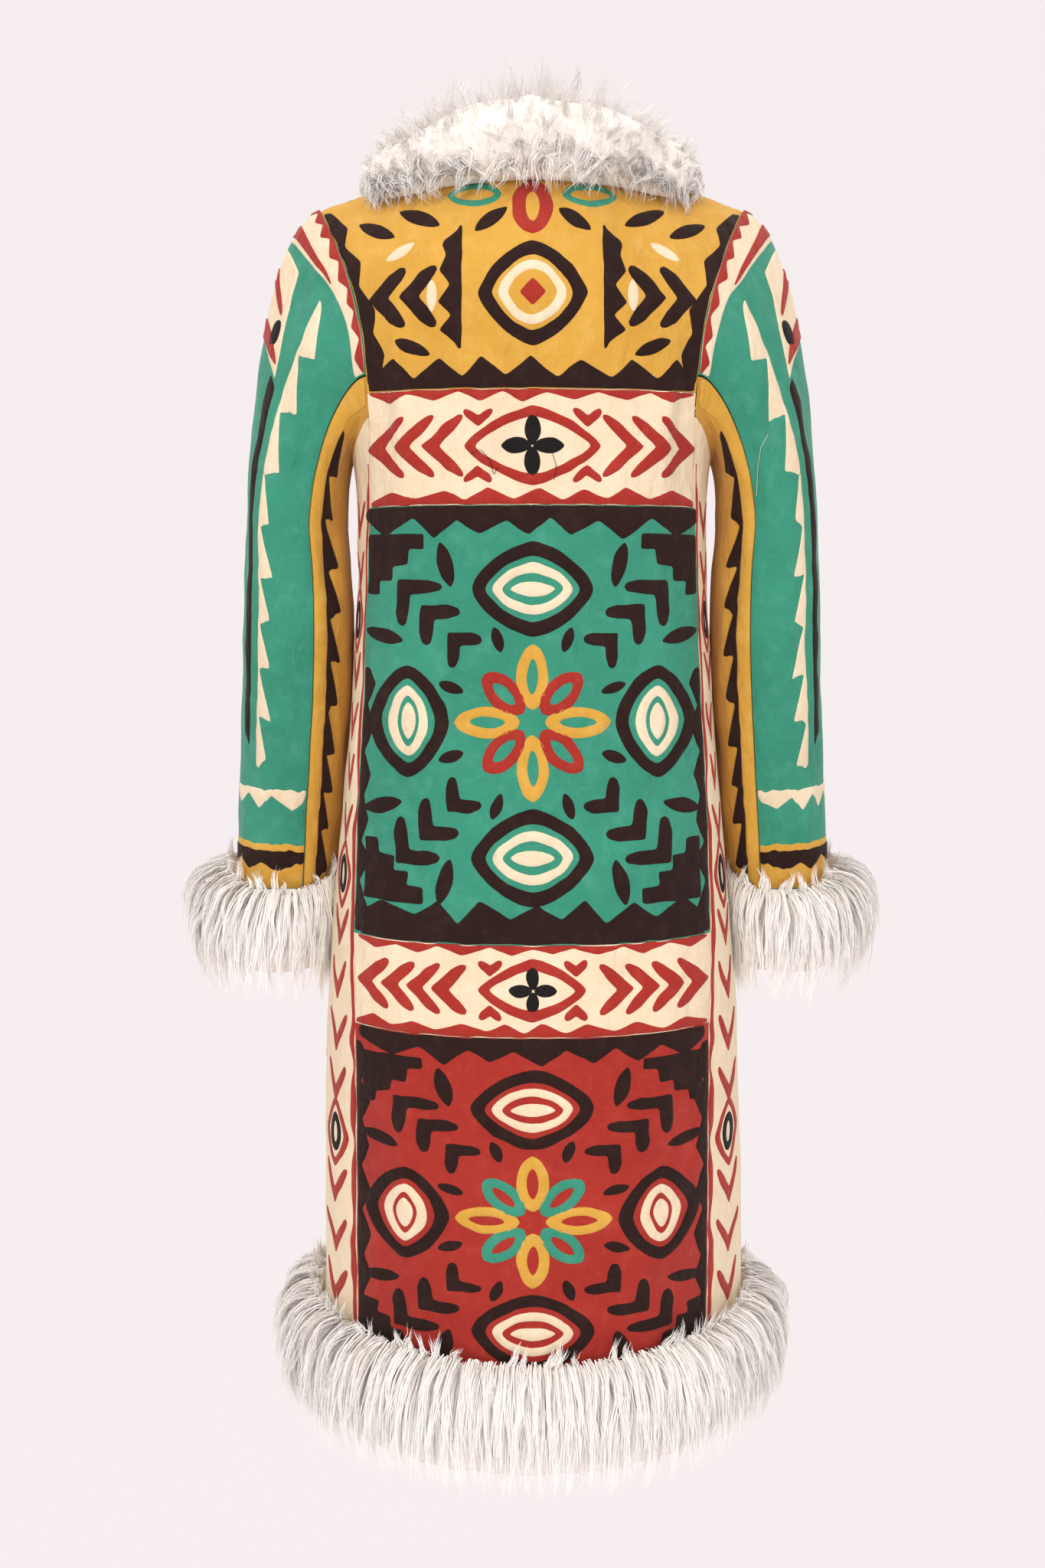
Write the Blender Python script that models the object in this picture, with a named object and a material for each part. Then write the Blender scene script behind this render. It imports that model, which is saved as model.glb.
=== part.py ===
"""A long patchwork coat in cotton with a fur collar, fur cuffs and a fur hem, filled out as if worn.

Metres, +Z up. The back faces +Y and the front faces -Y. The origin lies midway between the two points
where the shoulder seams meet the neckline, which is where the coat hangs on its wearer's shoulders.
Every piece of cloth is a thin wall whose outer points follow one body surface or one arm surface, and the
fur pieces stand on those walls and reach as far as the fur does.
"""

from collections import namedtuple

import bmesh
import bpy
import numpy as np

# Cloth and seams, in metres.
WALL = 0.0025
SEAM = 0.0004
FRONT_GAP = 0.0020
ON_CLOTH = 0.0010

# Heights of the seams across the body, from the hem up.
HEM = -1.030
LOWER_BLOCK_TOP = -0.755
LOWER_BAND_TOP = -0.680
MIDDLE_BLOCK_TOP = -0.313
UPPER_BAND_TOP = -0.215

# The armhole runs from the shoulder point down to the back panel's corner, then under the arm.
SHOULDER_X = 0.193
ARMHOLE_CORNER = -0.235
UNDERARM = -0.272

# The shoulder line, and the curve by which the back and the front roll up to it.
RIDGE_TOP = 0.0275
RIDGE_SLOPE = 0.34
RIDGE_ROUND = 0.03
ROLL_HEIGHT = 0.16
ROLL_POWER = 1.7

# The neckline.
NECK_X = 0.075
BACK_NECK = -0.020
FRONT_NECK = -0.085
BACK_NECK_POWER = 2.0
FRONT_NECK_POWER = 2.6

# The body's surface is worked out up to this share of its half width, and its slopes over this step.
WIDEST_SHARE = 0.99999
SLOPE_STEP = 1e-5

# Level sections of the body, from the hem up.
Section = namedtuple("Section", "height half_width back front roundness")
BODY = (
    Section(height=-1.120, half_width=0.1895, back=0.158, front=0.135, roundness=1.95),
    Section(height=-1.030, half_width=0.1885, back=0.157, front=0.134, roundness=1.98),
    Section(height=-0.900, half_width=0.1880, back=0.157, front=0.131, roundness=2.15),
    Section(height=-0.770, half_width=0.1855, back=0.155, front=0.127, roundness=2.35),
    Section(height=-0.660, half_width=0.1780, back=0.143, front=0.122, roundness=2.40),
    Section(height=-0.550, half_width=0.1690, back=0.130, front=0.119, roundness=2.40),
    Section(height=-0.460, half_width=0.1620, back=0.123, front=0.118, roundness=2.40),
    Section(height=-0.350, half_width=0.1580, back=0.122, front=0.119, roundness=2.40),
    Section(height=-0.272, half_width=0.1620, back=0.124, front=0.118, roundness=2.40),
    Section(height=-0.215, half_width=0.1780, back=0.125, front=0.116, roundness=2.40),
    Section(height=-0.150, half_width=0.2050, back=0.125, front=0.113, roundness=2.40),
    Section(height=0.080, half_width=0.2150, back=0.125, front=0.112, roundness=2.40),
)

# The line where the back and front panels end: the armhole above the corner, the side seams below it.
Edge = namedtuple("Edge", "height half_width")
PANEL_EDGE = (
    Edge(height=-1.030, half_width=0.150),
    Edge(height=-0.755, half_width=0.152),
    Edge(height=-0.680, half_width=0.154),
    Edge(height=-0.450, half_width=0.148),
    Edge(height=-0.313, half_width=0.144),
    Edge(height=-0.215, half_width=0.1435),
    Edge(height=-0.150, half_width=0.150),
    Edge(height=-0.085, half_width=0.171),
    Edge(height=-0.0389, half_width=0.193),
)

# Upright folds of the body, as soft troughs and ridges. A negative depth goes inward.
Fold = namedtuple("Fold", "side x low high width depth")
FOLDS = (
    Fold(side=1, x=-0.134, low=-0.350, high=-0.110, width=0.011, depth=-0.0040),
    Fold(side=1, x=-0.114, low=-0.370, high=-0.120, width=0.014, depth=0.0020),
    Fold(side=1, x=0.132, low=-0.330, high=-0.130, width=0.011, depth=-0.0035),
    Fold(side=1, x=0.113, low=-0.350, high=-0.140, width=0.014, depth=0.0018),
    Fold(side=1, x=-0.098, low=-1.030, high=-0.800, width=0.026, depth=0.0030),
    Fold(side=1, x=0.060, low=-1.030, high=-0.840, width=0.030, depth=-0.0028),
    Fold(side=-1, x=-0.120, low=-0.340, high=-0.120, width=0.013, depth=-0.0035),
    Fold(side=-1, x=0.122, low=-0.330, high=-0.120, width=0.013, depth=-0.0030),
    Fold(side=-1, x=0.085, low=-1.030, high=-0.780, width=0.026, depth=0.0028),
    Fold(side=-1, x=-0.070, low=-1.030, high=-0.820, width=0.028, depth=-0.0026),
)
FOLD_FADE = 1.5

# Level sections of the left sleeve, from the bicep down. Its inner side keeps this clearance to the body.
SLEEVE_START = -0.330
SLEEVE_END = -0.655
SleeveSection = namedtuple("SleeveSection", "height outer_x clear centre_y half_depth")
SLEEVE = (
    SleeveSection(height=-0.750, outer_x=0.2740, clear=0.0030, centre_y=-0.038, half_depth=0.049),
    SleeveSection(height=-0.655, outer_x=0.2715, clear=0.0024, centre_y=-0.030, half_depth=0.050),
    SleeveSection(height=-0.600, outer_x=0.2710, clear=0.0022, centre_y=-0.024, half_depth=0.052),
    SleeveSection(height=-0.520, outer_x=0.2665, clear=0.0022, centre_y=-0.014, half_depth=0.056),
    SleeveSection(height=-0.440, outer_x=0.2635, clear=0.0026, centre_y=-0.005, half_depth=0.060),
    SleeveSection(height=-0.380, outer_x=0.2615, clear=0.0060, centre_y=-0.001, half_depth=0.063),
    SleeveSection(height=-0.330, outer_x=0.2590, clear=0.0110, centre_y=0.000, half_depth=0.065),
)
ARM_ROUNDNESS = 2.2
SEAM_ANGLE = 112.0

# How the sleeve leaves the armhole and comes down onto the arm: the reach of its curve at each end.
Leave = namedtuple("Leave", "angle out up")
SLEEVE_HEAD = (
    Leave(angle=0.0, out=0.052, up=0.098),
    Leave(angle=60.0, out=0.036, up=0.080),
    Leave(angle=120.0, out=0.020, up=0.070),
    Leave(angle=180.0, out=0.016, up=0.066),
)

# Rows of points down a sleeve: 0 at the armhole, 1 at the bicep, 2 at the sleeve's end. The slope along
# the sleeve is taken over the path step.
HEAD_STEPS = (0.0, 0.12, 0.25, 0.38, 0.52, 0.68, 0.84)
ARM_STEPS = tuple(np.linspace(1, 2, 7))
PATH_STEP = 0.004

# Half of the collar, from the centre back round to its end at the front. Neck and edge are places on the
# body; rise and puff are how far the fur stands up and out between them.
Collar = namedtuple("Collar", "side neck_x neck_z edge_x edge_z rise puff")
COLLAR = (
    Collar(side=1, neck_x=0.000, neck_z=-0.020, edge_x=0.000, edge_z=-0.038, rise=0.088, puff=0.066),
    Collar(side=1, neck_x=0.040, neck_z=-0.0155, edge_x=0.072, edge_z=-0.040, rise=0.076, puff=0.058),
    Collar(side=1, neck_x=0.066, neck_z=-0.006, edge_x=0.124, edge_z=-0.044, rise=0.054, puff=0.038),
    Collar(side=1, neck_x=0.075, neck_z=0.002, edge_x=0.144, edge_z=-0.022, rise=0.042, puff=0.026),
    Collar(side=-1, neck_x=0.070, neck_z=-0.030, edge_x=0.145, edge_z=-0.072, rise=0.040, puff=0.040),
    Collar(side=-1, neck_x=0.048, neck_z=-0.065, edge_x=0.118, edge_z=-0.130, rise=0.034, puff=0.056),
    Collar(side=-1, neck_x=0.022, neck_z=-0.0812, edge_x=0.068, edge_z=-0.164, rise=0.030, puff=0.064),
    Collar(side=-1, neck_x=0.006, neck_z=-0.0847, edge_x=0.012, edge_z=-0.158, rise=0.026, puff=0.056),
)
Numbered = namedtuple("Numbered", "number value")
FIRST_ON_FRONT = 3
COLLAR_STATIONS = 3 * (len(COLLAR) - 1) + 1

# The collar's outline at each place: shares of its foot from the edge to the neck, which lies this clear
# of the cloth, and the turns of the arch over it. The puff leans outward by the other two.
COLLAR_FOOT = (1.0, 0.84, 0.68, 0.50, 0.32, 0.15, 0.0)
COLLAR_CLEAR = 0.0022
ARCH = np.radians((8.0, 26.0, 48.0, 70.0, 92.0, 116.0, 142.0, 168.0))
PUFF_POWER = 0.6
PUFF_BACKWARD = 0.5

# Outlines of the fur at the cuffs and the hem: out from the cloth, and down from the cloth's end.
FurPoint = namedtuple("FurPoint", "out down")
CUFF_FUR = (
    FurPoint(out=0.10, down=-0.024),
    FurPoint(out=0.42, down=-0.026),
    FurPoint(out=0.80, down=-0.006),
    FurPoint(out=1.00, down=0.022),
    FurPoint(out=0.96, down=0.050),
    FurPoint(out=0.70, down=0.080),
    FurPoint(out=0.34, down=0.097),
)
HEM_FUR = (
    FurPoint(out=0.08, down=-0.026),
    FurPoint(out=0.34, down=-0.030),
    FurPoint(out=0.72, down=-0.012),
    FurPoint(out=0.94, down=0.016),
    FurPoint(out=1.00, down=0.040),
    FurPoint(out=0.78, down=0.066),
    FurPoint(out=0.36, down=0.082),
)
CUFF_FLARE = 0.049
CUFF_SIDE_FLARE = 0.030
CUFF_FLARE_POWER = 0.8
CUFF_STATIONS = 32
HEM_FLARE = 0.043
HEM_STATIONS = 64

# Below this much under the sleeve's end the cuff's fur hangs straight and no longer follows the arm.
CUFF_FOLLOWS = 0.060

# The inside of the fur pieces: down from the cloth's end, in from its outer face, and for a cuff how
# clear of the body's side. The last two points close the fur up round the cloth's end.
FUR_WALL = 0.0060
FUR_ON_END = 0.0005
FUR_ON_FACE = 0.0008
CuffInside = namedtuple("CuffInside", "down inset clear")
CUFF_INSIDE = (
    CuffInside(down=0.080, inset=FUR_WALL, clear=ON_CLOTH + FUR_WALL),
    CuffInside(down=0.034, inset=0.0045, clear=ON_CLOTH + FUR_WALL),
    CuffInside(down=FUR_ON_END, inset=0.0030, clear=0.0),
    CuffInside(down=FUR_ON_END, inset=-FUR_ON_FACE, clear=0.0),
)
HemInside = namedtuple("HemInside", "down inset")
HEM_INSIDE = (
    HemInside(down=0.070, inset=FUR_WALL),
    HemInside(down=0.030, inset=0.0050),
    HemInside(down=FUR_ON_END, inset=WALL),
    HemInside(down=FUR_ON_END, inset=-FUR_ON_FACE),
)

# Where the columns of points stand across half of the back, as shares of its half width.
NECK_SHARE = NECK_X / SHOULDER_X
COLUMNS = (0.0, 0.13, 0.26, NECK_SHARE, 0.52, 0.64, 0.75, 0.84, 0.92, 1.0)
YOKE_ROWS = 8
SIDE_COLUMNS = 8
SHARP_ANGLE = 50.0

# Colours of the pieces, as linear red, green and blue.
YELLOW = (0.80, 0.46, 0.078)
GREEN = (0.045, 0.29, 0.195)
RED = (0.42, 0.035, 0.028)
CREAM = (0.76, 0.60, 0.40)
OCHRE = (0.52, 0.27, 0.040)
WHITE_FUR = (0.84, 0.77, 0.70)


def read_table(rows, key, column, at):
    """One column of a table as a smooth curve along its key column, read at the given places."""
    rows = sorted(rows, key=lambda row: getattr(row, key))
    keys = np.array([getattr(row, key) for row in rows])
    values = np.array([getattr(row, column) for row in rows])
    slopes = np.gradient(values, keys)
    at = np.clip(np.asarray(at, float), keys[0], keys[-1])
    i = np.clip(np.searchsorted(keys, at) - 1, 0, len(keys) - 2)
    step = keys[i + 1] - keys[i]
    t = (at - keys[i]) / step
    start = (1 + 2 * t) * (1 - t) ** 2 * values[i] + t * (1 - t) ** 2 * step * slopes[i]
    end = t * t * (3 - 2 * t) * values[i + 1] + t * t * (t - 1) * step * slopes[i + 1]
    return start + end


def half_width(z):
    return read_table(BODY, "height", "half_width", z)


def depth(z, side):
    behind = read_table(BODY, "height", "back", z)
    before = read_table(BODY, "height", "front", z)
    return np.where(np.asarray(side) > 0, behind, before)


def roundness(z):
    return read_table(BODY, "height", "roundness", z)


def panel_edge(z):
    return read_table(PANEL_EDGE, "height", "half_width", z)


def ridge(x):
    """The height of the shoulder line."""
    return RIDGE_TOP - RIDGE_SLOPE * np.sqrt(np.square(x) + RIDGE_ROUND**2)


def neckline(x, side):
    """The height of the neckline, which is flat at the centre and meets the shoulder line at its ends."""
    low = np.where(np.asarray(side) > 0, BACK_NECK, FRONT_NECK)
    power = np.where(np.asarray(side) > 0, BACK_NECK_POWER, FRONT_NECK_POWER)
    share = np.minimum(np.abs(x) / NECK_X, 1)
    return low + (ridge(NECK_X) - low) * share**power


def reach(x, z, side):
    """How far the level section stands from the side plane, before the roll up to the shoulders."""
    share = np.minimum(np.abs(x) / half_width(z), WIDEST_SHARE)
    power = roundness(z)
    return depth(z, side) * (1 - share**power) ** (1 / power)


def climb(x, z):
    """0 below the roll and 1 on the shoulder line."""
    return np.maximum((z - ridge(x) + ROLL_HEIGHT) / ROLL_HEIGHT, 0)


def shell_y(x, z, side):
    rolled = (1 - np.minimum(climb(x, z), 1) ** ROLL_POWER) ** (1 / ROLL_POWER)
    return side * np.maximum(reach(x, z, side) * rolled, SEAM / 2)


def shell_field(x, y, z, side):
    """Zero on the body's surface and growing outward."""
    return (np.abs(y) / reach(x, z, side)) ** ROLL_POWER + climb(x, z) ** ROLL_POWER - 1


def unit(vectors):
    return vectors / np.linalg.norm(vectors, axis=-1, keepdims=True)


def shell_normal(points, side):
    x, y, z = points[..., 0], points[..., 1], points[..., 2]
    slopes = (
        shell_field(x + SLOPE_STEP, y, z, side) - shell_field(x - SLOPE_STEP, y, z, side),
        shell_field(x, y + SLOPE_STEP, z, side) - shell_field(x, y - SLOPE_STEP, z, side),
        shell_field(x, y, z + SLOPE_STEP, side) - shell_field(x, y, z - SLOPE_STEP, side),
    )
    return unit(np.stack(slopes, axis=-1))


def fold_depth(x, z, side):
    total = np.zeros(np.shape(x))
    for fold in FOLDS:
        middle = (fold.low + fold.high) / 2
        half = (fold.high - fold.low) / 2
        along = np.clip(1 - ((z - middle) / half) ** 2, 0, 1) ** FOLD_FADE
        across = np.exp(-(((x - fold.x) / fold.width) ** 2))
        total += np.where(np.asarray(side) == fold.side, fold.depth * along * across, 0)
    return total


def on_body(x, z, side):
    """Points of the back (side 1) or the front (side -1), with the way out from the cloth there."""
    x, z = np.broadcast_arrays(np.asarray(x, float), np.asarray(z, float))
    points = np.stack((x, shell_y(x, z, side), z), axis=-1)
    normals = shell_normal(points, side)
    return points + normals * fold_depth(x, z, side)[..., None], normals


def on_side(turn, z):
    """Points round the side seams' panel: turn is 0 at the centre back and pi at the centre front."""
    turn, z = np.broadcast_arrays(np.asarray(turn, float), np.asarray(z, float))
    side = np.where(turn <= np.pi / 2, 1, -1)
    wide, deep, power = half_width(z), depth(z, side), roundness(z)
    x = wide * np.abs(np.sin(turn)) ** (2 / power)
    y = side * deep * np.abs(np.cos(turn)) ** (2 / power)
    points = np.stack((x, y, z), axis=-1)
    flat = np.stack(
        (
            (x / wide) ** (power - 1) / wide,
            side * (np.abs(y) / deep) ** (power - 1) / deep,
            np.zeros(np.shape(x)),
        ),
        axis=-1,
    )
    return points, unit(flat)


def turn_at(x, z):
    """The turn at which the side panel's section reaches the width x."""
    return np.arcsin(np.clip(x / half_width(z), 0, 1) ** (roundness(z) / 2))


def cloth_rows(low, high, count):
    return list(np.linspace(low, high, count + 1))


LOWER_BLOCK_ROWS = cloth_rows(HEM, LOWER_BLOCK_TOP, 4)
LOWER_BAND_ROWS = cloth_rows(LOWER_BLOCK_TOP, LOWER_BAND_TOP, 1)
MIDDLE_BLOCK_ROWS = cloth_rows(LOWER_BAND_TOP, MIDDLE_BLOCK_TOP, 6)
UPPER_BAND_ROWS = [*cloth_rows(MIDDLE_BLOCK_TOP, ARMHOLE_CORNER, 2), UPPER_BAND_TOP]
SIDE_ROWS = LOWER_BLOCK_ROWS + LOWER_BAND_ROWS[1:] + MIDDLE_BLOCK_ROWS[1:]


def material(name, colour, roughness):
    made = bpy.data.materials.new(name)
    made.use_nodes = True
    shader = made.node_tree.nodes["Principled BSDF"]
    shader.inputs["Base Color"].default_value = (*colour, 1.0)
    shader.inputs["Roughness"].default_value = roughness
    shader.inputs["Metallic"].default_value = 0.0
    return made


def solid(name, points, faces, colour, roughness=0.9):
    """One closed mesh with its faces turned outward, smooth but for its sharp edges."""
    mesh = bpy.data.meshes.new(name)
    mesh.from_pydata([tuple(p) for p in points], [], faces)
    work = bmesh.new()
    work.from_mesh(mesh)
    bmesh.ops.triangulate(work, faces=work.faces[:])
    bmesh.ops.recalc_face_normals(work, faces=work.faces[:])
    work.to_mesh(mesh)
    work.free()
    mesh.shade_smooth()
    mesh.set_sharp_from_angle(angle=np.radians(SHARP_ANGLE))
    mesh.materials.append(material(name, colour, roughness))
    made = bpy.data.objects.new(name, mesh)
    bpy.context.scene.collection.objects.link(made)
    return made


def wall(name, outer, inner, colour):
    """A closed wall between two grids of points with the same rows and columns."""
    rows, columns = outer.shape[:2]
    points = np.concatenate((outer.reshape(-1, 3), inner.reshape(-1, 3)))
    layer = rows * columns
    faces = []
    for r in range(rows - 1):
        for c in range(columns - 1):
            a = r * columns + c
            faces.append((a, a + 1, a + columns + 1, a + columns))
            faces.append((layer + a, layer + a + columns, layer + a + columns + 1, layer + a + 1))
    grid = np.arange(layer).reshape(rows, columns)
    rim = [*grid[0], *grid[1:, -1], *grid[-1, -2::-1], *grid[-2:0:-1, 0]]
    for a, b in zip(rim, rim[1:] + rim[:1]):
        faces.append((a, layer + a, layer + b, b))
    return solid(name, points, faces, colour)


def cloth_wall(name, points, normals, colour):
    return wall(name, points, points - normals * WALL, colour)


def ring(name, sections, colour, closed):
    """A solid through a row of closed outlines: joined into a ring, or capped at both ends."""
    stations, around = sections.shape[:2]
    faces = []
    for s in range(stations if closed else stations - 1):
        here, there = s * around, (s + 1) % stations * around
        for i in range(around):
            j = (i + 1) % around
            faces.append((here + i, here + j, there + j, there + i))
    if not closed:
        faces.append(tuple(range(around)))
        faces.append(tuple((stations - 1) * around + i for i in range(around)))
    return solid(name, sections.reshape(-1, 3), faces, colour, roughness=1.0)


def block(low_seam, high_seam, rows, columns):
    """Points of one block of the back: rows of points across it, drawn in a little at its seams."""
    z = np.array(rows)
    z[0] += SEAM / 2 if low_seam else 0
    z[-1] -= SEAM / 2 if high_seam else 0
    z = z[:, None]
    x = np.array(columns)[None, :] * (panel_edge(z) - SEAM / 2)
    return on_body(x, z, 1)


def yoke(side, columns, start):
    """Points from the upper band's seam to the shoulders and neck, with rows closing up to the ridge."""
    part = 1 - (1 - np.linspace(0, 1, YOKE_ROWS + 1)) ** 2
    share = np.array(columns)[None, :]
    top_x = start + share * (SHOULDER_X - SEAM / 2 - start)
    top_z = np.where(np.abs(top_x) > NECK_X, ridge(top_x), neckline(top_x, side))
    low = UPPER_BAND_TOP + SEAM / 2
    z = low + part[:, None] * (top_z - low)
    edge_z = low + part[:, None] * (ridge(SHOULDER_X) - low)
    x = start + share * (panel_edge(edge_z) - SEAM / 2 - start)
    return on_body(x, np.minimum(z, ridge(x)), side)


def make_back():
    columns = [-c for c in reversed(COLUMNS[1:])] + list(COLUMNS)
    cloth_wall("back_block_lower", *block(False, True, LOWER_BLOCK_ROWS, columns), RED)
    cloth_wall("back_band_lower", *block(True, True, LOWER_BAND_ROWS, columns), CREAM)
    cloth_wall("back_block_middle", *block(True, True, MIDDLE_BLOCK_ROWS, columns), GREEN)
    cloth_wall("back_band_upper", *block(True, True, UPPER_BAND_ROWS, columns), CREAM)
    cloth_wall("back_yoke", *yoke(1, columns, 0.0), YELLOW)


def front_points():
    """Points of the left front, from its hem to the shoulder, with its centre edge at half the gap."""
    z = np.array(SIDE_ROWS + UPPER_BAND_ROWS[1:-1])[:, None]
    share = np.array(COLUMNS)[None, :]
    start = FRONT_GAP / 2
    x = start + share * (panel_edge(z) - SEAM / 2 - start)
    low, low_normals = on_body(x, z, -1)
    high, high_normals = yoke(-1, COLUMNS, start)
    return np.concatenate((low, high)), np.concatenate((low_normals, high_normals))


def side_points():
    """Points of the left side panel: rows from the hem up, the last two bending to the armhole."""
    across = np.linspace(-1, 1, SIDE_COLUMNS + 1)[None, :]
    top = UNDERARM + (ARMHOLE_CORNER - UNDERARM) * across**2
    rows = [np.full(np.shape(top), z) for z in SIDE_ROWS]
    rows += [(top + MIDDLE_BLOCK_TOP) / 2, top]
    z = np.concatenate(rows)
    turn = turn_at(panel_edge(z) + SEAM / 2, z)
    return on_side(np.pi / 2 + across * (np.pi / 2 - turn), z)


def mirrored(points):
    return points * np.array((-1.0, 1.0, 1.0))


def both_sides(make, name, points, normals, colour):
    make(f"{name}_left", points, normals, colour)
    make(f"{name}_right", mirrored(points), mirrored(normals), colour)


def armhole():
    """The left armhole as a closed loop: from the shoulder down the back, under the arm, up the front."""
    back, back_normals = yoke(1, COLUMNS, 0.0)
    band, band_normals = block(True, True, UPPER_BAND_ROWS, COLUMNS)
    side, side_normals = side_points()
    front, front_normals = front_points()
    corner = len(SIDE_ROWS) + 1
    stretches = (
        (back[::-1, -1], back_normals[::-1, -1]),
        (band[-2:-1, -1], band_normals[-2:-1, -1]),
        (side[-1, 1:-1], side_normals[-1, 1:-1]),
        (front[corner:-1, -1], front_normals[corner:-1, -1]),
    )
    points = np.concatenate([stretch[0] for stretch in stretches])
    normals = np.concatenate([stretch[1] for stretch in stretches])
    points[0, 1] = 0.0
    normals[0, 1] = 0.0
    return points, unit(normals)


def arm_angles(points):
    """An angle round the arm for each point of the armhole: 0 on top, 180 under the arm, 360 on top."""
    lengths = np.linalg.norm(np.roll(points, -1, axis=0) - points, axis=1)
    walked = np.concatenate(([0.0], np.cumsum(lengths)))
    under = int(np.argmin(points[:, 2]))
    first = 180 * walked[: under + 1] / walked[under]
    rest = 180 + 180 * (walked[under + 1 : -1] - walked[under]) / (walked[-1] - walked[under])
    return np.concatenate((first, rest))


def arm_surface(angle, z, inset):
    """Points round the left arm at a height, drawn in by the inset."""
    outer = read_table(SLEEVE, "height", "outer_x", z) - inset
    inner = half_width(z) + read_table(SLEEVE, "height", "clear", z) + inset
    deep = read_table(SLEEVE, "height", "half_depth", z) - inset
    power = 2 / ARM_ROUNDNESS
    cos, sin = np.cos(np.radians(angle)), np.sin(np.radians(angle))
    x = (outer + inner) / 2 + (outer - inner) / 2 * np.sign(cos) * np.abs(cos) ** power
    y = read_table(SLEEVE, "height", "centre_y", z) + deep * np.sign(sin) * np.abs(sin) ** power
    return np.stack(np.broadcast_arrays(x, y, z), axis=-1)


def sleeve_path(start, away, angle, along):
    """The middle of the sleeve's wall: a curve from the armhole to the arm, then down the arm."""
    lean = np.abs((angle + 180) % 360 - 180)[:, None]
    out = read_table(SLEEVE_HEAD, "angle", "out", lean)
    up = read_table(SLEEVE_HEAD, "angle", "up", lean)
    landing = arm_surface(angle, np.full(np.shape(angle), SLEEVE_START), WALL / 2)
    above = landing + up * np.array((0.0, 0.0, 1.0))
    t = np.clip(along, 0, 1)
    curve = (1 - t) ** 3 * start + 3 * (1 - t) ** 2 * t * (start + away * out)
    curve = curve + 3 * (1 - t) * t * t * above + t**3 * landing
    if along <= 1:
        return curve
    z = SLEEVE_START + (along - 1) * (SLEEVE_END - SLEEVE_START)
    return arm_surface(angle, np.full(np.shape(angle), z), WALL / 2)


def sleeve_points():
    """Middle points, normals and angles of the left sleeve: a row for each step down the arm."""
    loop, normals = armhole()
    angle = arm_angles(loop)
    edge = unit(np.roll(loop, -1, axis=0) - np.roll(loop, 1, axis=0))
    away = unit(np.cross(edge, normals))
    start = loop - normals * WALL / 2 + away * SEAM
    rows, outward = [], []
    for along in HEAD_STEPS + ARM_STEPS:
        here = sleeve_path(start, away, angle, along)
        ahead = sleeve_path(start, away, angle, min(along + PATH_STEP, 2.0))
        behind = sleeve_path(start, away, angle, max(along - PATH_STEP, 0.0))
        round_it = np.roll(here, -1, axis=0) - np.roll(here, 1, axis=0)
        rows.append(here)
        outward.append(unit(np.cross(ahead - behind, round_it)))
    outward[0] = normals
    return np.array(rows), np.array(outward), angle


def columns_between(angle, low, high):
    """The columns of the sleeve from one angle to another, going round past the top if need be."""
    first = int(np.argmin(np.abs(angle - low)))
    last = int(np.argmin(np.abs(angle - high)))
    if last <= first:
        last += len(angle)
    return [i % len(angle) for i in range(first, last + 1)]


def sleeve_piece(name, columns, colour):
    middle, outward, _ = sleeve_points()
    points, normals = middle[:, columns].copy(), outward[:, columns]
    points[:, 0] += unit(points[:, 1] - points[:, 0]) * SEAM
    points[:, -1] += unit(points[:, -2] - points[:, -1]) * SEAM
    outer, inner = points + normals * WALL / 2, points - normals * WALL / 2
    wall(f"{name}_left", outer, inner, colour)
    wall(f"{name}_right", mirrored(outer), mirrored(inner), colour)


def make_sleeves():
    angle = sleeve_points()[2]
    sleeve_piece("sleeve_top", columns_between(angle, 360 - SEAM_ANGLE, SEAM_ANGLE), GREEN)
    sleeve_piece("sleeve_under", columns_between(angle, SEAM_ANGLE, 360 - SEAM_ANGLE), OCHRE)


def clear_of_body(points, gap):
    """Points of a left cuff moved sideways, where they need it, to stay this far off the body's side."""
    moved = points.copy()
    moved[..., 0] = np.maximum(points[..., 0], half_width(points[..., 2]) + gap)
    return moved


def cuff_sections():
    """Closed outlines of the left cuff's fur, one for each angle round the arm."""
    sections = []
    for angle in np.linspace(0, 360, CUFF_STATIONS + 1)[:-1]:
        lean = (1 + np.cos(np.radians(angle))) / 2
        side_flare = CUFF_SIDE_FLARE * np.sin(np.radians(angle)) ** 2 * (1 - lean)
        flare = side_flare + CUFF_FLARE * lean**CUFF_FLARE_POWER
        outline = []
        for point in CUFF_FUR:
            z = np.array(SLEEVE_END - point.down)
            here = arm_surface(angle, np.maximum(z, SLEEVE_END - CUFF_FOLLOWS), 0.0)
            middle = arm_surface(0.0, z, 0.0) + arm_surface(180.0, z, 0.0)
            out = here - middle / 2
            out[2] = 0.0
            here = here + unit(out) * (ON_CLOTH + point.out * flare)
            here[2] = z
            outline.append(clear_of_body(here, ON_CLOTH))
        for point in CUFF_INSIDE:
            inner = arm_surface(angle, np.array(SLEEVE_END - point.down), point.inset)
            outline.append(clear_of_body(inner, point.clear))
        sections.append(outline)
    return np.array(sections)


def make_cuffs():
    sections = cuff_sections()
    ring("cuff_fur_left", sections, WHITE_FUR, closed=True)
    ring("cuff_fur_right", mirrored(sections), WHITE_FUR, closed=True)


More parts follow.
